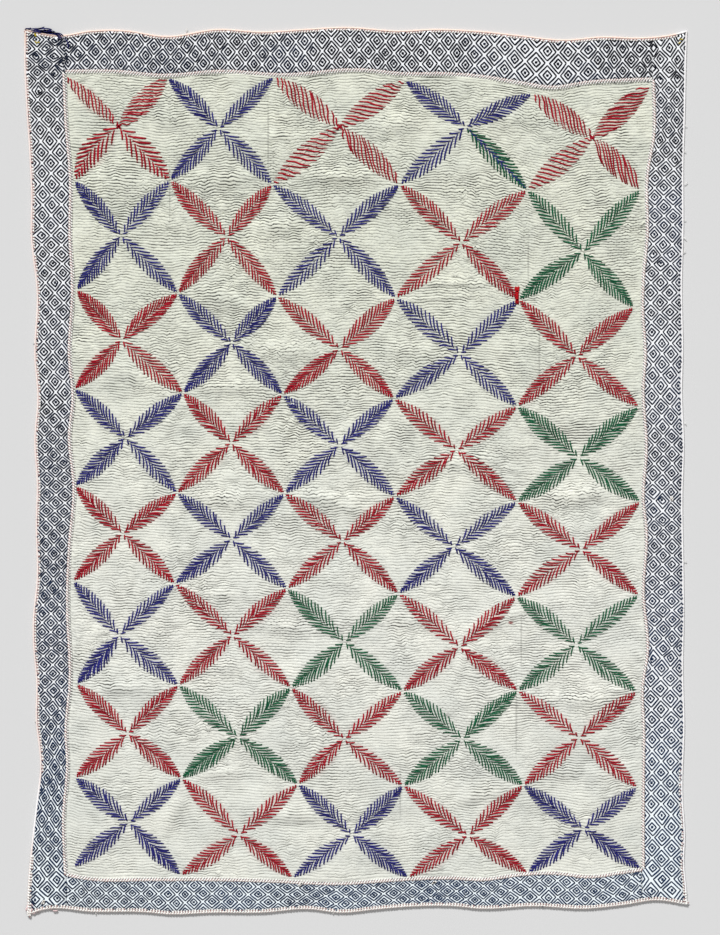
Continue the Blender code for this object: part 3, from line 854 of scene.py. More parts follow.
def ground_material():
    """Old white cotton with quilting rows, painted shade in its grey furrows, weave, washed patches, painted
    shade along faint upright creases and one small red stain. It is greener and greyer at the top and a
    little darker at the foot, and tinted by the thread over it."""
    c = colours()
    material, tree, shader, places = new_material("Quilted white cotton", 0.9, 0.15)
    here = places["Object"]
    rows = use_group(tree, "Furrow shade lines", here, Width=0.46, Furrow=fact(tree, "furrow"))
    weave = use_group(tree, "Plain weave", here, Yarns_a_metre=900.0)
    mottle = use_group(tree, "Washed mottle", here, Patches_a_metre=8.0)
    ground = np.array(c.ground)
    warm = np.minimum(ground * (1.03, 1.02, 0.97), 1.0)
    cool = ground * (0.91, 0.92, 0.895)
    base = blend(tree, ramp(tree, mottle["Patch"], 0.36, 0.64), cool, warm)
    top = side_mask(tree, here, "Y", -0.35, 0.45)
    base = blend(tree, top, base, (0.93, 0.945, 0.875), "MULTIPLY")
    foot = side_mask(tree, here, "Y", -0.35, -0.75)
    base = blend(tree, foot, base, (0.93, 0.935, 0.93), "MULTIPLY")
    base = overlay(tree, base, ramp(tree, mottle["Speck"], 0.38, 0.62), 0.38, ground * 0.66)
    base = overlay(tree, base, weave["Shade"], 0.12, ground * 0.6)
    base = overlay(tree, base, spot_mask(tree, here, STAIN), 0.8, c.red)
    for thread in THREADS.values():
        base = overlay(tree, base, fact(tree, thread + "_tint"), 0.17, getattr(c, thread))
    # Painted shade: the furrow grey laid softly over each hollow between rows, and as thin broken lines along
    # the furrows, stronger by puckers
    base = overlay(tree, base, rows["Hollow shade"], 0.15, c.furrow)
    base = overlay(tree, base, rows["Line"], fact(tree, "furrow_shade"), c.furrow)
    # Painted shade along the creases of old folds, in the furrow grey
    for crease in CREASE_SHADES:
        base = overlay(tree, base, spot_mask(tree, here, crease), 0.30, c.furrow)
    finish_material(tree, shader, base, weave["Height"], 0.25, 0.0002)
    return material


def strip_material():
    """Pale border cotton: fine weave, washed patches and specks, and a faint cool cast towards the foot."""
    material, tree, shader, places = new_material("Pale border cotton", 0.88, 0.15)
    here = places["Object"]
    weave = use_group(tree, "Plain weave", here, Yarns_a_metre=800.0)
    mottle = use_group(tree, "Washed mottle", here, Patches_a_metre=14.0)
    strip = np.array(colours().strip)
    base = blend(tree, mottle["Patch"], strip * 0.90, strip * 1.03)
    base = overlay(tree, base, mottle["Speck"], 0.2, strip * 0.66)
    base = overlay(tree, base, weave["Shade"], 0.10, strip * 0.5)
    foot = side_mask(tree, here, "Y", -0.35, -0.80)
    base = blend(tree, foot, base, (0.96, 1.02, 1.03), "MULTIPLY")
    finish_material(tree, shader, base, weave["Height"], 0.3, 0.0003)
    return material


def thread_material(name, colour, fade=0.25, worn=None):
    """Twisted cotton thread: each stitch has its own tone, with painted shade darkening its ends, where it
    dips into the cloth, so that it is paler along its middle. Tone 1 gives the worn colour, or else a paler
    one."""
    material, tree, shader, places = new_material(name, 0.75, shine=0.12)
    twist = use_group(tree, "Twisted thread", places["UV"], Turns_a_metre=650.0)
    colour = np.array(colour)
    share = fact(tree, "share")
    pale = np.minimum(colour * (1 + fade) + 0.02 * fade, 1.0) if worn is None else worn
    base = blend(tree, fact(tree, "tone"), colour * (1 - fade), pale)
    # Painted shade at both ends of each stitch, where it dips into the cloth
    arch = times(tree, times(tree, share, calc(tree, "SUBTRACT", 1.0, share)), 4.0)
    ends = calc(tree, "POWER", calc(tree, "SUBTRACT", 1.0, arch), 1.5)
    base = overlay(tree, base, ends, 0.75, colour * 0.30)
    base = overlay(tree, base, twist["Shade"], 0.3, colour * 0.5)
    finish_material(tree, shader, base, twist["Height"], 0.4, 0.0002)
    return material


def roll_material():
    """Cotton of the rolled outer edge: cream with pink patches, orange pink along the top, and white on the
    right and in a stretch of the left."""
    c = colours()
    material, tree, shader, places = new_material("Rolled edge cotton", 0.88, 0.15)
    here = places["Object"]
    weave = use_group(tree, "Plain weave", here, Yarns_a_metre=900.0)
    mottle = use_group(tree, "Washed mottle", here, Patches_a_metre=30.0)
    roll = np.array(c.roll)
    base = blend(tree, mottle["Patch"], roll * (0.92, 0.78, 0.77), np.minimum(roll * 1.12, 1.0))
    base = overlay(tree, base, side_mask(tree, here, "Y", 0.845, 0.860), 0.75, c.top_roll)
    right = side_mask(tree, here, "X", 0.635, 0.650)
    white = calc(tree, "MAXIMUM", right, spot_mask(tree, here, WHITE_EDGE))
    base = overlay(tree, base, white, 0.8, c.strip)
    base = overlay(tree, base, weave["Shade"], 0.2, roll * 0.55)
    finish_material(tree, shader, base, weave["Height"], 0.3, 0.0003)
    return material


# Pieces


def ground_face():
    """The quilted face on a grid, as named arrays. Furrow and crest lines alternate over a four-sided
    patch inside the seams. Each furrow zigzags by half a stitch, the other way in the next row, so rows of
    staggered puffs lie between. y also strays by soft noise and spreads away from a pucker's line. z is the
    cloth's height plus or minus half a row's height, more or less by noise. One array gives how dark the
    painted shade in the furrows is: darker by puckers, paler towards the foot and at the very top, and uneven
    by noise."""
    s = sizes()
    lines, across = 2 * s.rows + 1, 2 * s.columns + 1
    line, step = np.meshgrid(np.arange(lines), np.arange(across), indexing="ij")
    furrow = line % 2 == 0
    odd_row = (line // 2) % 2 == 1
    v, u = line / (lines - 1), step / (across - 1)
    x, y = four_sided_patch(SEAM_BOTTOM, SEAM_RIGHT, SEAM_TOP, SEAM_LEFT, u, v)
    inside = soft_step(np.minimum(v, 1 - v) * s.rows / 2) * soft_step(np.minimum(u, 1 - u) * s.columns)
    zigzag = np.where((step % 2 == 1) ^ odd_row, -1.0, 1.0) * (0.6 + 0.8 * noise(x, y, 0.05, 25))
    crinkle = noise(x, y * 0.40, 0.0065, 27) * (0.75 + 0.75 * noise(x, y, 0.06, 28))
    wander = noise(x, y * 0.7, 0.019, 21) * 0.8 + noise(x, y, 0.048, 22) * 0.9
    pucker, parted = ridges(PUCKERS, x, y)
    y = y + inside * (s.row_wander * wander + np.where(furrow, s.row_zigzag * zigzag, -s.crest_shift))
    y = y + inside * (s.row_crinkle * crinkle + 0.9 * parted)
    x = x + inside * 0.0008 * noise(x, y, 0.010, 26)
    zone = noise(x, y, 0.055, 24)
    swell = np.maximum(0.95 + 0.50 * noise(x, y, 0.011, 23) + 0.40 * zone, 0.40)
    z = cloth_height(x, y) + np.where(furrow, -0.5, 0.5) * s.row_height * swell * inside
    lower = soft_step((0.25 - y) / 0.5) + soft_step((-0.45 - y) / 0.30)
    upper = soft_step((y - 0.55) / 0.2)
    # How strong the painted shade in the furrows is
    furrow_shade = 0.79 - 0.26 * lower - 0.16 * upper + 0.34 * zone + 0.25 * noise(x, y * 2, 0.016, 29)
    furrow_shade = np.clip(furrow_shade + 160 * np.abs(pucker), 0.22, 1.0)
    return {"u": u, "v": v, "x": x, "y": y, "z": z, "furrow": furrow, "furrow_shade": furrow_shade, "inside": inside}


def puff_triangles(grid):
    """Triangles between the furrow lines and crest lines of a grid of point numbers. A crest has every second
    point, from the second one on in every other row, so each puff has one. Three triangles join two crest
    points to three furrow points, and a row that starts late has two narrow ones more at each end."""
    lines, across = grid.shape
    triangles = []
    for side in (0, 2):
        for odd in (0, 1):
            crest = np.arange(1 + 2 * odd, lines - 1, 4)
            low, high = grid[crest - 1 + side], grid[crest]
            left, middle, right = (np.arange(odd + k, across - 2 + k - odd, 2) for k in (0, 1, 2))
            fans = [
                (low[:, left], low[:, middle], high[:, left]),
                (high[:, left], low[:, middle], high[:, right]),
                (low[:, middle], low[:, right], high[:, right]),
            ]
            for first, second in ((0, 1), (-2, -1)) if odd else ():
                fans.append((low[:, [first]], low[:, [second]], high[:, [first]]))
                fans.append((high[:, [first]], low[:, [second]], high[:, [second]]))
            fans = np.concatenate([np.stack(fan, axis=-1).reshape(-1, 3) for fan in fans])
            triangles.append(fans if side == 0 else fans[:, ::-1])
    return np.concatenate(triangles)


def build_ground():
    """The quilted cloth: its face, a rim that runs out under the strips and a flat back that closes it."""
    s = sizes()
    arrays = ground_face()
    grid = np.arange(arrays["u"].size).reshape(arrays["u"].shape)
    used, triangles = np.unique(puff_triangles(grid), return_inverse=True)
    face = {key: values.ravel()[used] for key, values in arrays.items()}
    place = np.full(grid.size, -1)
    place[used] = np.arange(len(used))
    border = place[grid_border(*grid.shape)]
    border = border[border >= 0]
    u, v = face["u"][border], face["v"][border]
    outer = np.column_stack(four_sided_patch(EDGE_BOTTOM, EDGE_RIGHT, EDGE_TOP, EDGE_LEFT, u, v))
    outer = outer + inward_normals(outer) * s.roll_radius
    rings = [np.column_stack((outer, np.full(len(outer), height))) for height in (s.rim_height, BACK_HEIGHT)]
    rim = len(used) + np.arange(len(border))
    back = rim + len(border)
    faces = [triangles.reshape(-1, 3), ring_faces(rim, border), ring_faces(back, rim), back[::-1][None, :]]
    points = np.concatenate((np.column_stack((face["x"], face["y"], face["z"])), *rings))
    flat_uv = points[:, :2] / (1.4, 1.9) + 0.5
    facts = leaf_tints(face["x"], face["y"]) | {key: face[key] for key in ("furrow", "furrow_shade", "inside")}
    facts = {key: np.concatenate((values, np.zeros(2 * len(outer)))) for key, values in facts.items()}
    inside = facts.pop("inside")
    creased = (facts["furrow"] > 0.5) & (inside > 0.02)
    piece = new_piece("ground_cloth", points, faces, ground_material(), flat_uv, facts,
                      ("quilt_ground",), creased)


def build_roll():
    """The rolled outer edge: an oval carried along the outline, its size swelling and thinning with noise."""
    s = sizes()
    sides = 8
    path = outline(0.009)
    inward = inward_normals(path)
    fat = 1.0 + 0.10 * noise(path[:, 0], path[:, 1], 0.014, 31)
    turn = math.tau * np.arange(sides) / sides
    out = -np.cos(turn)[None, :] * s.roll_radius * 0.98
    up = np.sin(turn)[None, :] * s.roll_radius * 0.9 * fat[:, None]
    xy = path[:, None, :] + inward[:, None, :] * (s.roll_radius + out)[..., None]
    points = np.dstack((xy, s.roll_radius + up))
    index = np.arange(len(path) * sides).reshape(len(path), sides)
    after = np.roll(index, -1, axis=0)
    corners = (index, after, np.roll(after, -1, axis=1), np.roll(index, -1, axis=1))
    faces = np.stack(corners, axis=-1).reshape(-1, 4)
    new_piece("rolled_edge", points, [faces], roll_material())


def build_strip(name, material):
    """A border strip: a grid along it, z the strip's height, closed by sides and a flat back."""
    lines = 9
    share = np.linspace(0, 1, lines)[:, None]
    start, stop = strip_ends(name, share)
    across = round(float(np.max(stop - start)) / 0.006)
    t = np.linspace(0, 1, across)[None, :]
    place = start + (stop - start) * t
    x, y = strip_place(name, place, share * np.ones_like(t))
    z = strip_height(x, y)
    face = np.stack((x, y, z), axis=-1).reshape(-1, 3)
    border = grid_border(lines, across)
    ring = face[border]
    back = np.column_stack((ring[:, :2], np.full(len(ring), sizes().strip_foot)))
    back_index = len(face) + np.arange(len(border))
    faces = [grid_faces(lines, across), ring_faces(back_index, border), back_index[::-1][None, :]]
    area = np.sum(ring[:, 0] * np.roll(ring[:, 1], -1) - np.roll(ring[:, 0], -1) * ring[:, 1]) / 2
    if area < 0:
        faces = [f[:, ::-1] for f in faces]
    points = np.concatenate((face, back))
    piece = new_piece(name + "_cloth", points, faces, material, nodes=(name,))


def span_between(start, stop, low, high):
    """Where lines whose value runs from start to stop lie between low and high, as shares of their length."""
    run = stop - start
    run = np.where(np.abs(run) < 1e-9, 1e-9, run)
    cut = np.sort(np.stack(((low - start) / run, (high - start) / run)), axis=0)
    return np.clip(cut[0], 0, 1), np.clip(cut[1], 0, 1)


def pattern_lines(name):
    """Lines of a strip's nested diamonds by their ends, and each one's ring radius. In a cell a ring is where
    |a| + |b| is constant, a along the strip and b across it in pitches. A ring's side is cut off where it
    leaves the strip, and its ends are shifted by soft noise, most where the pattern is tangled."""
    pattern = STRIP_PATTERNS[name]
    place, pitch = np.array(pattern["pitch"], float).T * MM
    fine = np.linspace(place[0], place[-1], 2000)
    step = 1 / np.interp(fine, place, pitch)
    phase = np.concatenate(([0], np.cumsum((step[1:] + step[:-1]) / 2 * np.diff(fine))))
    phase = phase + 0.06 * noise(fine, len(name), 0.05, 46)
    phase = phase - np.interp(pattern["anchor"] * MM, fine, phase)
    place, first, share_pitch = np.array(pattern["columns"], float).T
    low_share, high_share = -0.005, 1.0
    centre_dash = np.array([[(-0.04, 0.0), (0.04, 0.0)]])
    ends, radii = [], []
    for column in range(-2, 7):
        cells = np.arange(math.floor(phase[0]) - 1, math.ceil(phase[-1]) + 2) + 0.5 * (column % 2)
        for radius in (0.0, 0.205, 0.405):
            corners = np.array([(radius, 0.0), (0.0, radius), (-radius, 0.0), (0.0, -radius)])
            pairs = np.stack((corners, np.roll(corners, -1, axis=0)), axis=1) if radius else centre_dash
            a = cells[:, None, None] + pairs[None, :, :, 0]
            at = np.interp(a, phase, fine) / MM
            across = column / 2 + pairs[None, :, :, 1]
            share = np.interp(at, place, first) + across * np.interp(at, place, share_pitch)
            spans = span_between(share[..., 0], share[..., 1], low_share, high_share)
            if not radius:
                inside = (share[..., 0] > low_share) & (share[..., 0] < high_share)
                spans = np.where(inside, 0.0, 1.0), np.ones(inside.shape)
            ring = np.stack((a, share), axis=-1)
            run = ring[..., 1, :] - ring[..., 0, :]
            clipped = np.stack([ring[..., 0, :] + run * t[..., None] for t in spans], axis=-2)
            clipped = clipped[(spans[1] - spans[0]) > 0.12]
            ends.append(clipped.reshape(-1, 2, 2))
            radii.append(np.full(len(ends[-1]), radius))
    ends, radii = np.concatenate(ends), np.concatenate(radii)
    where = np.interp(ends[..., 0], phase, fine, left=9, right=9)
    share = ends[..., 1]
    start, stop = strip_ends(name, share.mean(axis=1))
    margin = 0.0003
    t0, t1 = span_between(where[:, 0], where[:, 1], start + margin, stop - margin)
    keep = ((where < 5).all(axis=1)) & (t1 - t0 > 0.08)
    t = np.stack((t0, t1), axis=1)[keep]
    where, share = (two[:, :1] + (two[:, 1:] - two[:, :1]) * t for two in (where[keep], share[keep]))
    x, y = strip_place(name, where, share)
    tangled = np.zeros(x.shape)
    for spot_x, spot_y, radius in TANGLES:
        tangled = tangled + np.exp(-((x - spot_x * MM) ** 2 + (y - spot_y * MM) ** 2) / (radius * MM) ** 2)
    wobble = 0.0009 + 0.0021 * np.minimum(tangled, 1.0)
    shift_x = wobble * bumps(x, y, (1, 0.012, 41), (1, 0.035, 42))
    shift_y = wobble * bumps(x, y, (1, 0.012, 43), (1, 0.035, 44))
    return np.stack((x + shift_x, y + shift_y), axis=-1), radii[keep]


def build_pattern(name, material):
    """The dark stitched diamonds of one strip, worn paler in patches and towards the foot. Each line runs on
    a little past its corners, and a centre dash is wider."""
    lines, radii = pattern_lines(name)
    count = len(lines)
    rng = np.random.default_rng(len(name))
    x, y = lines.mean(axis=1).T
    uneven = 1 + 0.12 * rng.uniform(-1, 1, count)
    width = sizes().line_width * STRIP_PATTERNS[name]["line"] * uneven * np.where(radii == 0, 1.6, 1.0)
    worn = 0.42 - 0.42 * y + 0.10 * x + 0.30 * noise(x, y, 0.10, 45)
    tone = np.clip(worn + 0.12 * rng.uniform(-1, 1, count), 0, 1)
    run_on = unit(lines[:, 1] - lines[:, 0]) * 0.0012
    bow, snake = (0.0003 * rng.uniform(-1, 1, count) for _ in range(2))
    start, stop, rise = lines[:, 0] - run_on, lines[:, 1] + run_on, 0.0006
    stitches(name + "_pattern", start, stop, strip_height, width, rise, material, "border_cotton", bow=bow,
             snake=snake, tone=tone, rings=4)


def leaf_list():
    """Every leaf by its thread, kind, cross middle, tip, compass name, column and style."""
    kinds = {(row, column, name): "slanted" for row, column, names in SLANTED for name in names}
    kinds.update({(row, column, name): "bold" for row, column, names in BOLD for name in names})
    leaves = []
    for row, centres in enumerate(CROSS_CENTRES):
        style = "upper" if row < 3 else "lower"
        for column, centre in enumerate(centres):
            cross = {"thread": CROSS_COLOURS[row][column], "centre": centre, "column": column, "style": style}
            if (row, column) in JOINED:
                leaves.append({**cross, "kind": "heart", "tip": centre, "name": ""})
            for name, (down, right) in LEAVES.items():
                kind = kinds.get((row, column, name), "feather")
                leaf = {**cross, "kind": kind, "tip": LEAF_TIPS[row + down][column + right], "name": name}
                if (row, column, name) == MIXED_LEAF:
                    leaves.append({**leaf, "kind": "rib"})
                    leaf["thread"] = "G"
                leaves.append(leaf)
    return leaves


def leaf_outline(t):
    """Half width of a leaf at a share of its length, from 0 to 1: a lens with blunt ends."""
    return np.sin(math.pi * np.clip(t, 0.0, 1.0)) ** 0.74


def reach(start, slope, length, half):
    """How far along the rib a slanting stitch meets the leaf's edge, found by halfway steps from beyond."""
    end = np.minimum(start + half / slope, length)
    for _ in range(40):
        end = 0.5 * end + 0.5 * (start + leaf_outline(end / length) * half / slope)
        end = np.minimum(end, length)
    return end


def leaf_frame(leaf):
    """A leaf's base, length, and the directions along and across its rib."""
    centre, tip = np.array(leaf["centre"], float) * MM, np.array(leaf["tip"], float) * MM
    way = unit(tip - centre)
    base, end = centre + way * LEAF_GAPS[0], tip - way * LEAF_GAPS[1]
    return base, float(np.linalg.norm(end - base)), way, left_of(way)


def feather_stitches(leaf, rng, barbs, half, open_angle, curve=0.035, bulge=0.0):
    """Two rows of barbs that meet along the rib as nested chevrons, closer towards the tip. Each leaves the
    rib at the opening angle, bent by curve, and stops at the leaf's edge. bulge bends the whole rib. Gives
    starts, stops, bows and snakes."""
    base, length, way, side = leaf_frame(leaf)
    bend = rng.uniform(-1, 1) * 0.0020 - bulge
    space = length / barbs
    least, closeness = 0.0016, 1.10
    starts, stops, bows = [], [], []
    even = 1 - (1 - (np.arange(barbs) + 0.45) / (barbs + 0.5)) ** closeness
    for hand in (1, -1):
        s = length * even + space * (0.22 * hand + rng.uniform(-1, 1, barbs) * 0.06)
        s = np.clip(s, 0.0, length * 0.985)
        angle = math.radians(open_angle + rng.uniform(-2.5, 2.5)) + np.radians(rng.uniform(-1.2, 1.2, barbs))
        wide = half * rng.uniform(0.93, 1.04)
        e = reach(s, np.tan(angle), length, wide)
        out = np.maximum((e - s) * np.tan(angle) * (1 + rng.uniform(-1, 1, barbs) * 0.05), least)
        e = np.maximum(e, s + out / np.tan(angle))
        bow_s, bow_e = np.sin(math.pi * s / length) * bend, np.sin(math.pi * e / length) * bend
        starts.append(base + way * (s - 0.0010)[:, None] + side * (bow_s - hand * 0.0006)[:, None])
        stops.append(base + way * e[:, None] + side * (bow_e + hand * out)[:, None])
        bows.append(-hand * curve * np.hypot(e - s, out) * (1 + rng.uniform(-1, 1, barbs) * 0.6))
    snakes = 0.0005 * rng.uniform(-1, 1, 2 * barbs)
    return np.concatenate(starts), np.concatenate(stops), np.concatenate(bows), snakes


def slanted_stitches(leaf, rng, barbs, half, heading):
    """One row of stitches that cross the whole leaf at one heading, each in a slight S. It starts a little
    nearer the cross's middle than a feather does."""
    base, length, way, side = leaf_frame(leaf)
    nearer = 0.003
    base, length = base - way * nearer, length + nearer
    line = heading_of(heading)
    line = -line if line @ way < 0 else line
    hand = 1 if line @ side > 0 else -1
    angle = math.acos(min(abs(float(line @ way)), 1.0)) + np.radians(rng.uniform(-4, 4, barbs))
    s = length * ((np.arange(barbs) + 0.5) / barbs) + rng.uniform(-1, 1, barbs) * length / barbs * 0.12
    ahead = reach(s, np.tan(angle), length, half)
    behind = length - reach(length - s, np.tan(angle), length, half)
    slope = np.tan(angle) * hand
    starts, stops = (
        base + way * end[:, None] + side * ((end - s) * slope)[:, None] for end in (behind, ahead)
    )
    return starts, stops, 0.0010 * rng.uniform(-1, 1, barbs), -hand * 0.0016 * rng.uniform(0.4, 1.3, barbs)


def heart_stitches(leaf):
    """Four short stitches that fan out over the middle of a cross."""
    half_length = 0.0065
    line = heading_of(np.array((35, 60, 125, 150))) * half_length
    middle = np.array(leaf["centre"]) * MM
    return middle - line, middle + line, np.zeros(len(line)), np.full(len(line), 0.001)


def leaf_stitches(leaf, rng):
    """The stitches of one leaf as starts, stops, bows and snakes, and the share of the usual thread width."""
    s = sizes()
    half, kind, name, column = s.leaf_half_width, leaf["kind"], leaf["name"], leaf["column"]
    if kind == "slanted":
        half = half * (0.75 if (name, column) == ("NW", 0) else 1.15)
        count = 12 if (name, column) == ("SE", 4) else 15
        return slanted_stitches(leaf, rng, count, half, SLANTS[column][name]), 1.05
    if kind == "heart":
        return heart_stitches(leaf), 1.0
    if kind == "bold":
        return feather_stitches(leaf, rng, 11, half * 1.25, 37, bulge=0.010 if name == "SW" else 0.0), 1.3
    if kind == "rib":
        return feather_stitches(leaf, rng, s.barbs, half * 0.35, 30), 0.9
    more, wide, curve, thread = LEAF_STYLES[leaf["style"]][leaf["thread"]]
    barbs = s.barbs + more + rng.integers(-1, 2)
    half = half * wide * rng.uniform(0.93, 1.07)
    return feather_stitches(leaf, rng, barbs, half, 36, curve), thread


def leaf_tints(x, y):
    """How much each thread tints the cloth at x, y: 1 inside that thread's leaves, with a soft edge."""
    soft_edge = 0.003
    tints = {thread + "_tint": np.zeros(len(x)) for thread in THREADS.values()}
    for leaf in leaf_list():
        if leaf["kind"] in ("heart", "rib"):
            continue
        base, length, way, side = leaf_frame(leaf)
        run = ((x - base[0]) * way[0] + (y - base[1]) * way[1]) / length
        near = (run > 0) & (run < 1)
        out = np.abs((x[near] - base[0]) * side[0] + (y[near] - base[1]) * side[1])
        inside = soft_step((sizes().leaf_half_width * leaf_outline(run[near]) - out) / soft_edge)
        tint = tints[THREADS[leaf["thread"]] + "_tint"]
        tint[near] = np.maximum(tint[near], inside)
    return tints


def build_leaves():
    """The embroidered leaves, one piece for each colour of thread. Stitches too short to see are left out."""
    s = sizes()
    shortest = 0.0035
    for letter, thread in THREADS.items():
        rng = np.random.default_rng(ord(letter))
        rows, widths = [], []
        for leaf in leaf_list():
            if leaf["thread"] == letter:
                row, wide = leaf_stitches(leaf, rng)
                rows.append(row)
                widths.append(np.full(len(row[0]), s.thread_width * wide))
        starts, stops, bows, snakes = (np.concatenate(part) for part in zip(*rows))
        widths = np.concatenate(widths) * (1 + 0.12 * rng.uniform(-1, 1, len(starts)))
        keep = np.linalg.norm(stops - starts, axis=1) > shortest
        material = thread_material(thread.capitalize() + " thread", getattr(colours(), thread))
        stitches(thread + "_leaves", starts[keep], stops[keep], cloth_height, widths[keep], s.thread_rise,
                 material, "thread", bow=bows[keep], snake=snakes[keep],
                 tone=rng.uniform(0, 1, int(keep.sum())), rings=4, sides=5)


def places_along(line, step):
    """Evenly spaced points on a line of points, and the unit direction at each."""
    far = np.concatenate(([0], np.cumsum(np.linalg.norm(np.diff(line, axis=0), axis=1))))

    def point_at(run):
        return np.column_stack([np.interp(run, far, line[:, i]) for i in (0, 1)])

    at = np.arange(step / 2, far[-1], step)
    return point_at(at), unit(point_at(at + step / 4) - point_at(at - step / 4))


def slanted_row(point, way, row, rng):
    """One of the rows of small stitches beside a line: each leans from the line's direction, a little uneven
    in lean and length."""
    inset, length, lean, scatter = STITCH_ROWS[row]
    left = left_of(way)
    count = len(point)
    angle = np.radians(lean + rng.uniform(-scatter, scatter, count))
    heading = way * np.cos(angle)[:, None] + left * np.sin(angle)[:, None]
    middle = point + left * inset * MM
    half = length / 2 * MM * (1 + 0.2 * rng.uniform(-1, 1, count))
    return middle - heading * half[:, None], middle + heading * half[:, None]


def build_edging():
    """White bead stitches with dull pink whip stitches between them, on the seams and just inside the edge
    but for its bare stretches, and white ones over the roll at the foot."""
    rng = np.random.default_rng(71)
    whip = thread_material("Pink edge thread", colours().whip, 0.2)
    bead = thread_material("White thread", colours().bead, 0.10)
    beads, whips = [], []
    period = 0.0056
    for seam in side_lines(SEAM_BOTTOM, SEAM_RIGHT, SEAM_TOP, SEAM_LEFT, lambda length: 400):
        point, way = places_along(seam, period)
        between = point + way * period / 2
        beads.append(slanted_row(point, way, "seam_bead", rng))
        beads.append(slanted_row(between, way, "seam_dot", rng))
        whips.append(slanted_row(between, way, "seam_whip", rng))
    edge = outline(0.006)
    point, way = places_along(np.concatenate((edge, edge[:1])), period)
    x, y = point.T
    bare_left = (x < -0.6) & (y > -0.77) & (y < -0.60)
    bare_right = (x > 0.645) & (y > -0.6)
    foot = (y < -0.84) | ((x < -0.6) & (y < -0.77))
    keep = (rng.uniform(0, 1, len(point)) < 0.85) & ~bare_left & ~bare_right
    beads.append(slanted_row(point[keep], way[keep], "edge_bead", rng))
    over_roll = slanted_row(point[foot], way[foot], "roll_bead", rng)
    whips.append(slanted_row((point + way * period / 2)[keep], way[keep], "edge_whip", rng))
    for name, rows, width, rise, material in (
        ("white_bead_stitches", beads, 0.0035, 0.0012, bead),
        ("pink_whip_stitches", whips, 0.0018, 0.0010, whip),
    ):
        start, stop = (np.concatenate(part) for part in zip(*rows))
        stitches(name, start, stop, lambda x, y: strip_height(x, y) + 0.0001, width, rise, material, "thread",
                 tone=rng.uniform(0, 1, len(start)), rings=2)
    round_roll = math.pi * (0.15 + 0.62 * np.array((0.0, 0.05, 0.5, 0.95, 1.0)))
    on_roll = sizes().roll_radius * (1 + 0.88 * np.sin(round_roll))
    stitches("edge_bead_stitches", *over_roll, lambda x, y: on_roll + 0 * x, 0.0034, 0.0008, bead, "thread",
             tone=rng.uniform(0, 1, len(over_roll[0])))


def build_knot():
    """The short bundle of red thread: strands that fan out at both ends and are drawn in at the waist, and
    wraps round the waist."""
    red = thread_material("Knot thread", colours().knot, 0.15)
    middle = np.array(KNOT_MIDDLE)
    fan = np.array((-4.6, -2.7, -0.9, 0.9, 2.7, 4.6)) * MM
    long = np.array((17.0, 19.0, 18.0, 16.5, 19.0, 18.0)) * MM
    strands, wraps = len(fan), 5
    wrap_reach, wrap_lean = 0.0036, 0.0008
    at = np.linspace(-0.0065, 0.0045, wraps)
    low = middle + np.column_stack((np.full(wraps, -wrap_reach), at - wrap_lean))
    high = middle + np.column_stack((np.full(wraps, wrap_reach), at + wrap_lean))
    start = np.concatenate((middle + np.column_stack((fan * 0.72, -long)), low))
    stop = np.concatenate((middle + np.column_stack((fan, long)), high))
    bow = np.concatenate((fan * 0.62, np.zeros(wraps)))
    width = np.repeat((0.0033, 0.0030), (strands, wraps))
    rise = np.repeat((0.0030, 0.0042), (strands, wraps))
    tone = np.linspace(0.2, 0.9, strands + wraps)
    stitches("knot_strands", start, stop, cloth_height, width, rise, red, "thread", bow=bow, tone=tone,
             rings=8, sides=8, nodes=("mend_knot",))


def loose_threads(name, table, material, width, lift, rng):
    """Loose ends of thread. Table columns: x, y, length, heading, bow."""
    x, y, long, heading, bow = np.array(table, float).T
    start = np.column_stack((x, y)) * MM
    stop = start + heading_of(heading) * long[:, None] * MM
    count = len(start)
    stitches(name, start, stop, lambda x, y: np.full(np.shape(x), lift), width, 0.0008, material, "thread",
             bow=bow * MM, snake=rng.uniform(-0.0015, 0.0015, count), tone=rng.uniform(0, 1, count), rings=7)


def build_details():
    """The loose threads, bits of yellow thread, frayed corner and worn white spots of three threads each."""
    c = colours()
    rng = np.random.default_rng(5)
    on_strip = sizes().strip_top + 0.0008
    navy = np.array(c.blue) * 0.6
    spots = [(x + off, y, long, tilt, 0) for x, y, long, tilt in WORN_SPOTS for off in (-1.6, 0, 1.6)]
    for name, table, label, colour, fade, width, lift in (
        ("navy_ravel", RAVEL, "Navy ravel", navy, 0.3, 0.0024, on_strip),
        ("yellow_bits", YELLOW_BITS, "Yellow thread", c.yellow, 0.2, 0.0022, on_strip),
        ("frayed_corner", FRAYED_CORNER, "Pink fray", c.fray, 0.2, 0.0034, 0.0026),
        ("loose_ends", LOOSE_ENDS, "Loose white thread", c.bead, 0.1, 0.0012, 0.0024),
        ("worn_spots", spots, "Worn white", c.bead, 0.05, 0.0024, on_strip),
    ):
        loose_threads(name, table, thread_material(label, colour, fade), width, lift, rng)


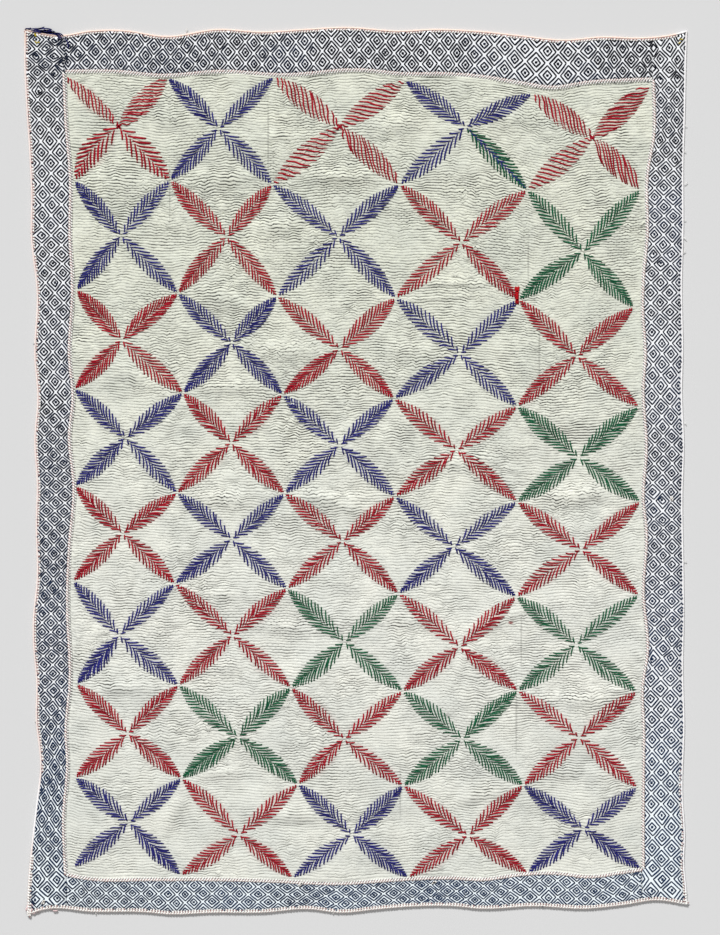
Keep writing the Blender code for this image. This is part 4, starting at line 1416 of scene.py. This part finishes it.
def build_stage():
    """Plain pale floor, soft lights and a long-lens camera straight above."""
    scene = bpy.context.scene
    half = 6.0
    floor = bpy.data.meshes.new("studio_floor")
    corners = [(-half, -half, 0), (half, -half, 0), (half, half, 0), (-half, half, 0)]
    floor.from_pydata(corners, [], [(0, 1, 2, 3)])
    material, tree, shader, places = new_material("Studio floor", 0.8)
    grain = times(tree, noise_at(tree, places["Object"], 3.0), 0.04)
    tree.links.new(blend(tree, grain, colours().floor, (0.7, 0.7, 0.7)), shader.inputs["Base Color"])
    floor.materials.append(material)
    stage = bpy.data.objects.new("studio_floor", floor)
    scene.collection.objects.link(stage)
    for name, way, strength, softness in (
        ("key_light", (0.26, -0.82, -0.53), 4.35, 12.0),
        ("fill_light", (-0.55, 0.35, -0.75), 0.45, 40.0),
    ):
        light = bpy.data.lights.new(name, "SUN")
        light.energy = strength
        light.angle = math.radians(softness)
        lamp = bpy.data.objects.new(name, light)
        lamp.location = (0, 0, 3)
        lamp.rotation_euler = Vector(way).to_track_quat("-Z", "Y").to_euler()
        scene.collection.objects.link(lamp)
    world = bpy.data.worlds.new("Studio")
    world.use_nodes = True
    world.node_tree.nodes["Background"].inputs["Color"].default_value = (1.0, 1.0, 1.0, 1.0)
    world.node_tree.nodes["Background"].inputs["Strength"].default_value = 0.30
    scene.world = world
    camera = bpy.data.cameras.new("camera")
    distance, frame_height = 7.0, 1.87
    camera.sensor_fit = "VERTICAL"
    camera.sensor_height = 24.0
    camera.lens = camera.sensor_height * distance / frame_height
    eye = bpy.data.objects.new("camera", camera)
    eye.location = (0.0086, 0.007, distance)
    scene.collection.objects.link(eye)
    scene.camera = eye
    scene.view_settings.view_transform = "Standard"


class QUILT_OT_ground(bpy.types.Operator):
    """Builds the quilted ground and its rolled edge"""

    bl_idname = "quilt.ground"
    bl_label = "Ground"

    def execute(self, context):
        build_ground()
        build_roll()
        return {"FINISHED"}


class QUILT_OT_borders(bpy.types.Operator):
    """Builds the border strips and their stitched diamonds"""

    bl_idname = "quilt.borders"
    bl_label = "Borders"

    def execute(self, context):
        cloth = strip_material()
        line = thread_material("Border thread", colours().line, 0.1, colours().worn_line)
        for name in STRIP_PATTERNS:
            build_strip(name, cloth)
            build_pattern(name, line)
        return {"FINISHED"}


class QUILT_OT_leaves(bpy.types.Operator):
    """Builds the embroidered leaves"""

    bl_idname = "quilt.leaves"
    bl_label = "Leaves"

    def execute(self, context):
        build_leaves()
        return {"FINISHED"}


class QUILT_OT_edging(bpy.types.Operator):
    """Builds the small stitches of the edge and the seams"""

    bl_idname = "quilt.edging"
    bl_label = "Edging"

    def execute(self, context):
        build_edging()
        return {"FINISHED"}


class QUILT_OT_details(bpy.types.Operator):
    """Builds the red knot, loose threads and worn spots"""

    bl_idname = "quilt.details"
    bl_label = "Details"

    def execute(self, context):
        build_knot()
        build_details()
        return {"FINISHED"}


class QUILT_OT_stage(bpy.types.Operator):
    """Builds the floor, lights and camera"""

    bl_idname = "quilt.stage"
    bl_label = "Stage"

    def execute(self, context):
        build_stage()
        return {"FINISHED"}


class QUILT_PT_panel(bpy.types.Panel):
    """Lists the quilt's pieces"""

    bl_idname = "QUILT_PT_panel"
    bl_label = "Kantha quilt"
    bl_space_type = "VIEW_3D"
    bl_region_type = "UI"
    bl_category = "Quilt"

    def draw(self, context):
        for operator in OPERATORS:
            self.layout.operator(operator.bl_idname)
        for group in (context.scene.quilt_sizes, context.scene.quilt_colours):
            for key in group.bl_rna.properties.keys():
                if key not in ("rna_type", "name"):
                    self.layout.prop(group, key)


OPERATORS = (
    QUILT_OT_ground, QUILT_OT_borders, QUILT_OT_leaves, QUILT_OT_edging, QUILT_OT_details, QUILT_OT_stage,
)
CLASSES = (QuiltSizes, QuiltColours, *OPERATORS, QUILT_PT_panel)


def register():
    for item in CLASSES:
        bpy.utils.register_class(item)
    bpy.types.Scene.quilt_sizes = bpy.props.PointerProperty(type=QuiltSizes)
    bpy.types.Scene.quilt_colours = bpy.props.PointerProperty(type=QuiltColours)


def unregister():
    del bpy.types.Scene.quilt_colours
    del bpy.types.Scene.quilt_sizes
    for item in reversed(CLASSES):
        bpy.utils.unregister_class(item)


def main():
    register()
    bpy.ops.quilt.stage()
    bpy.ops.quilt.ground()
    bpy.ops.quilt.borders()
    bpy.ops.quilt.leaves()
    bpy.ops.quilt.edging()
    bpy.ops.quilt.details()


if __name__ == "__main__":
    main()
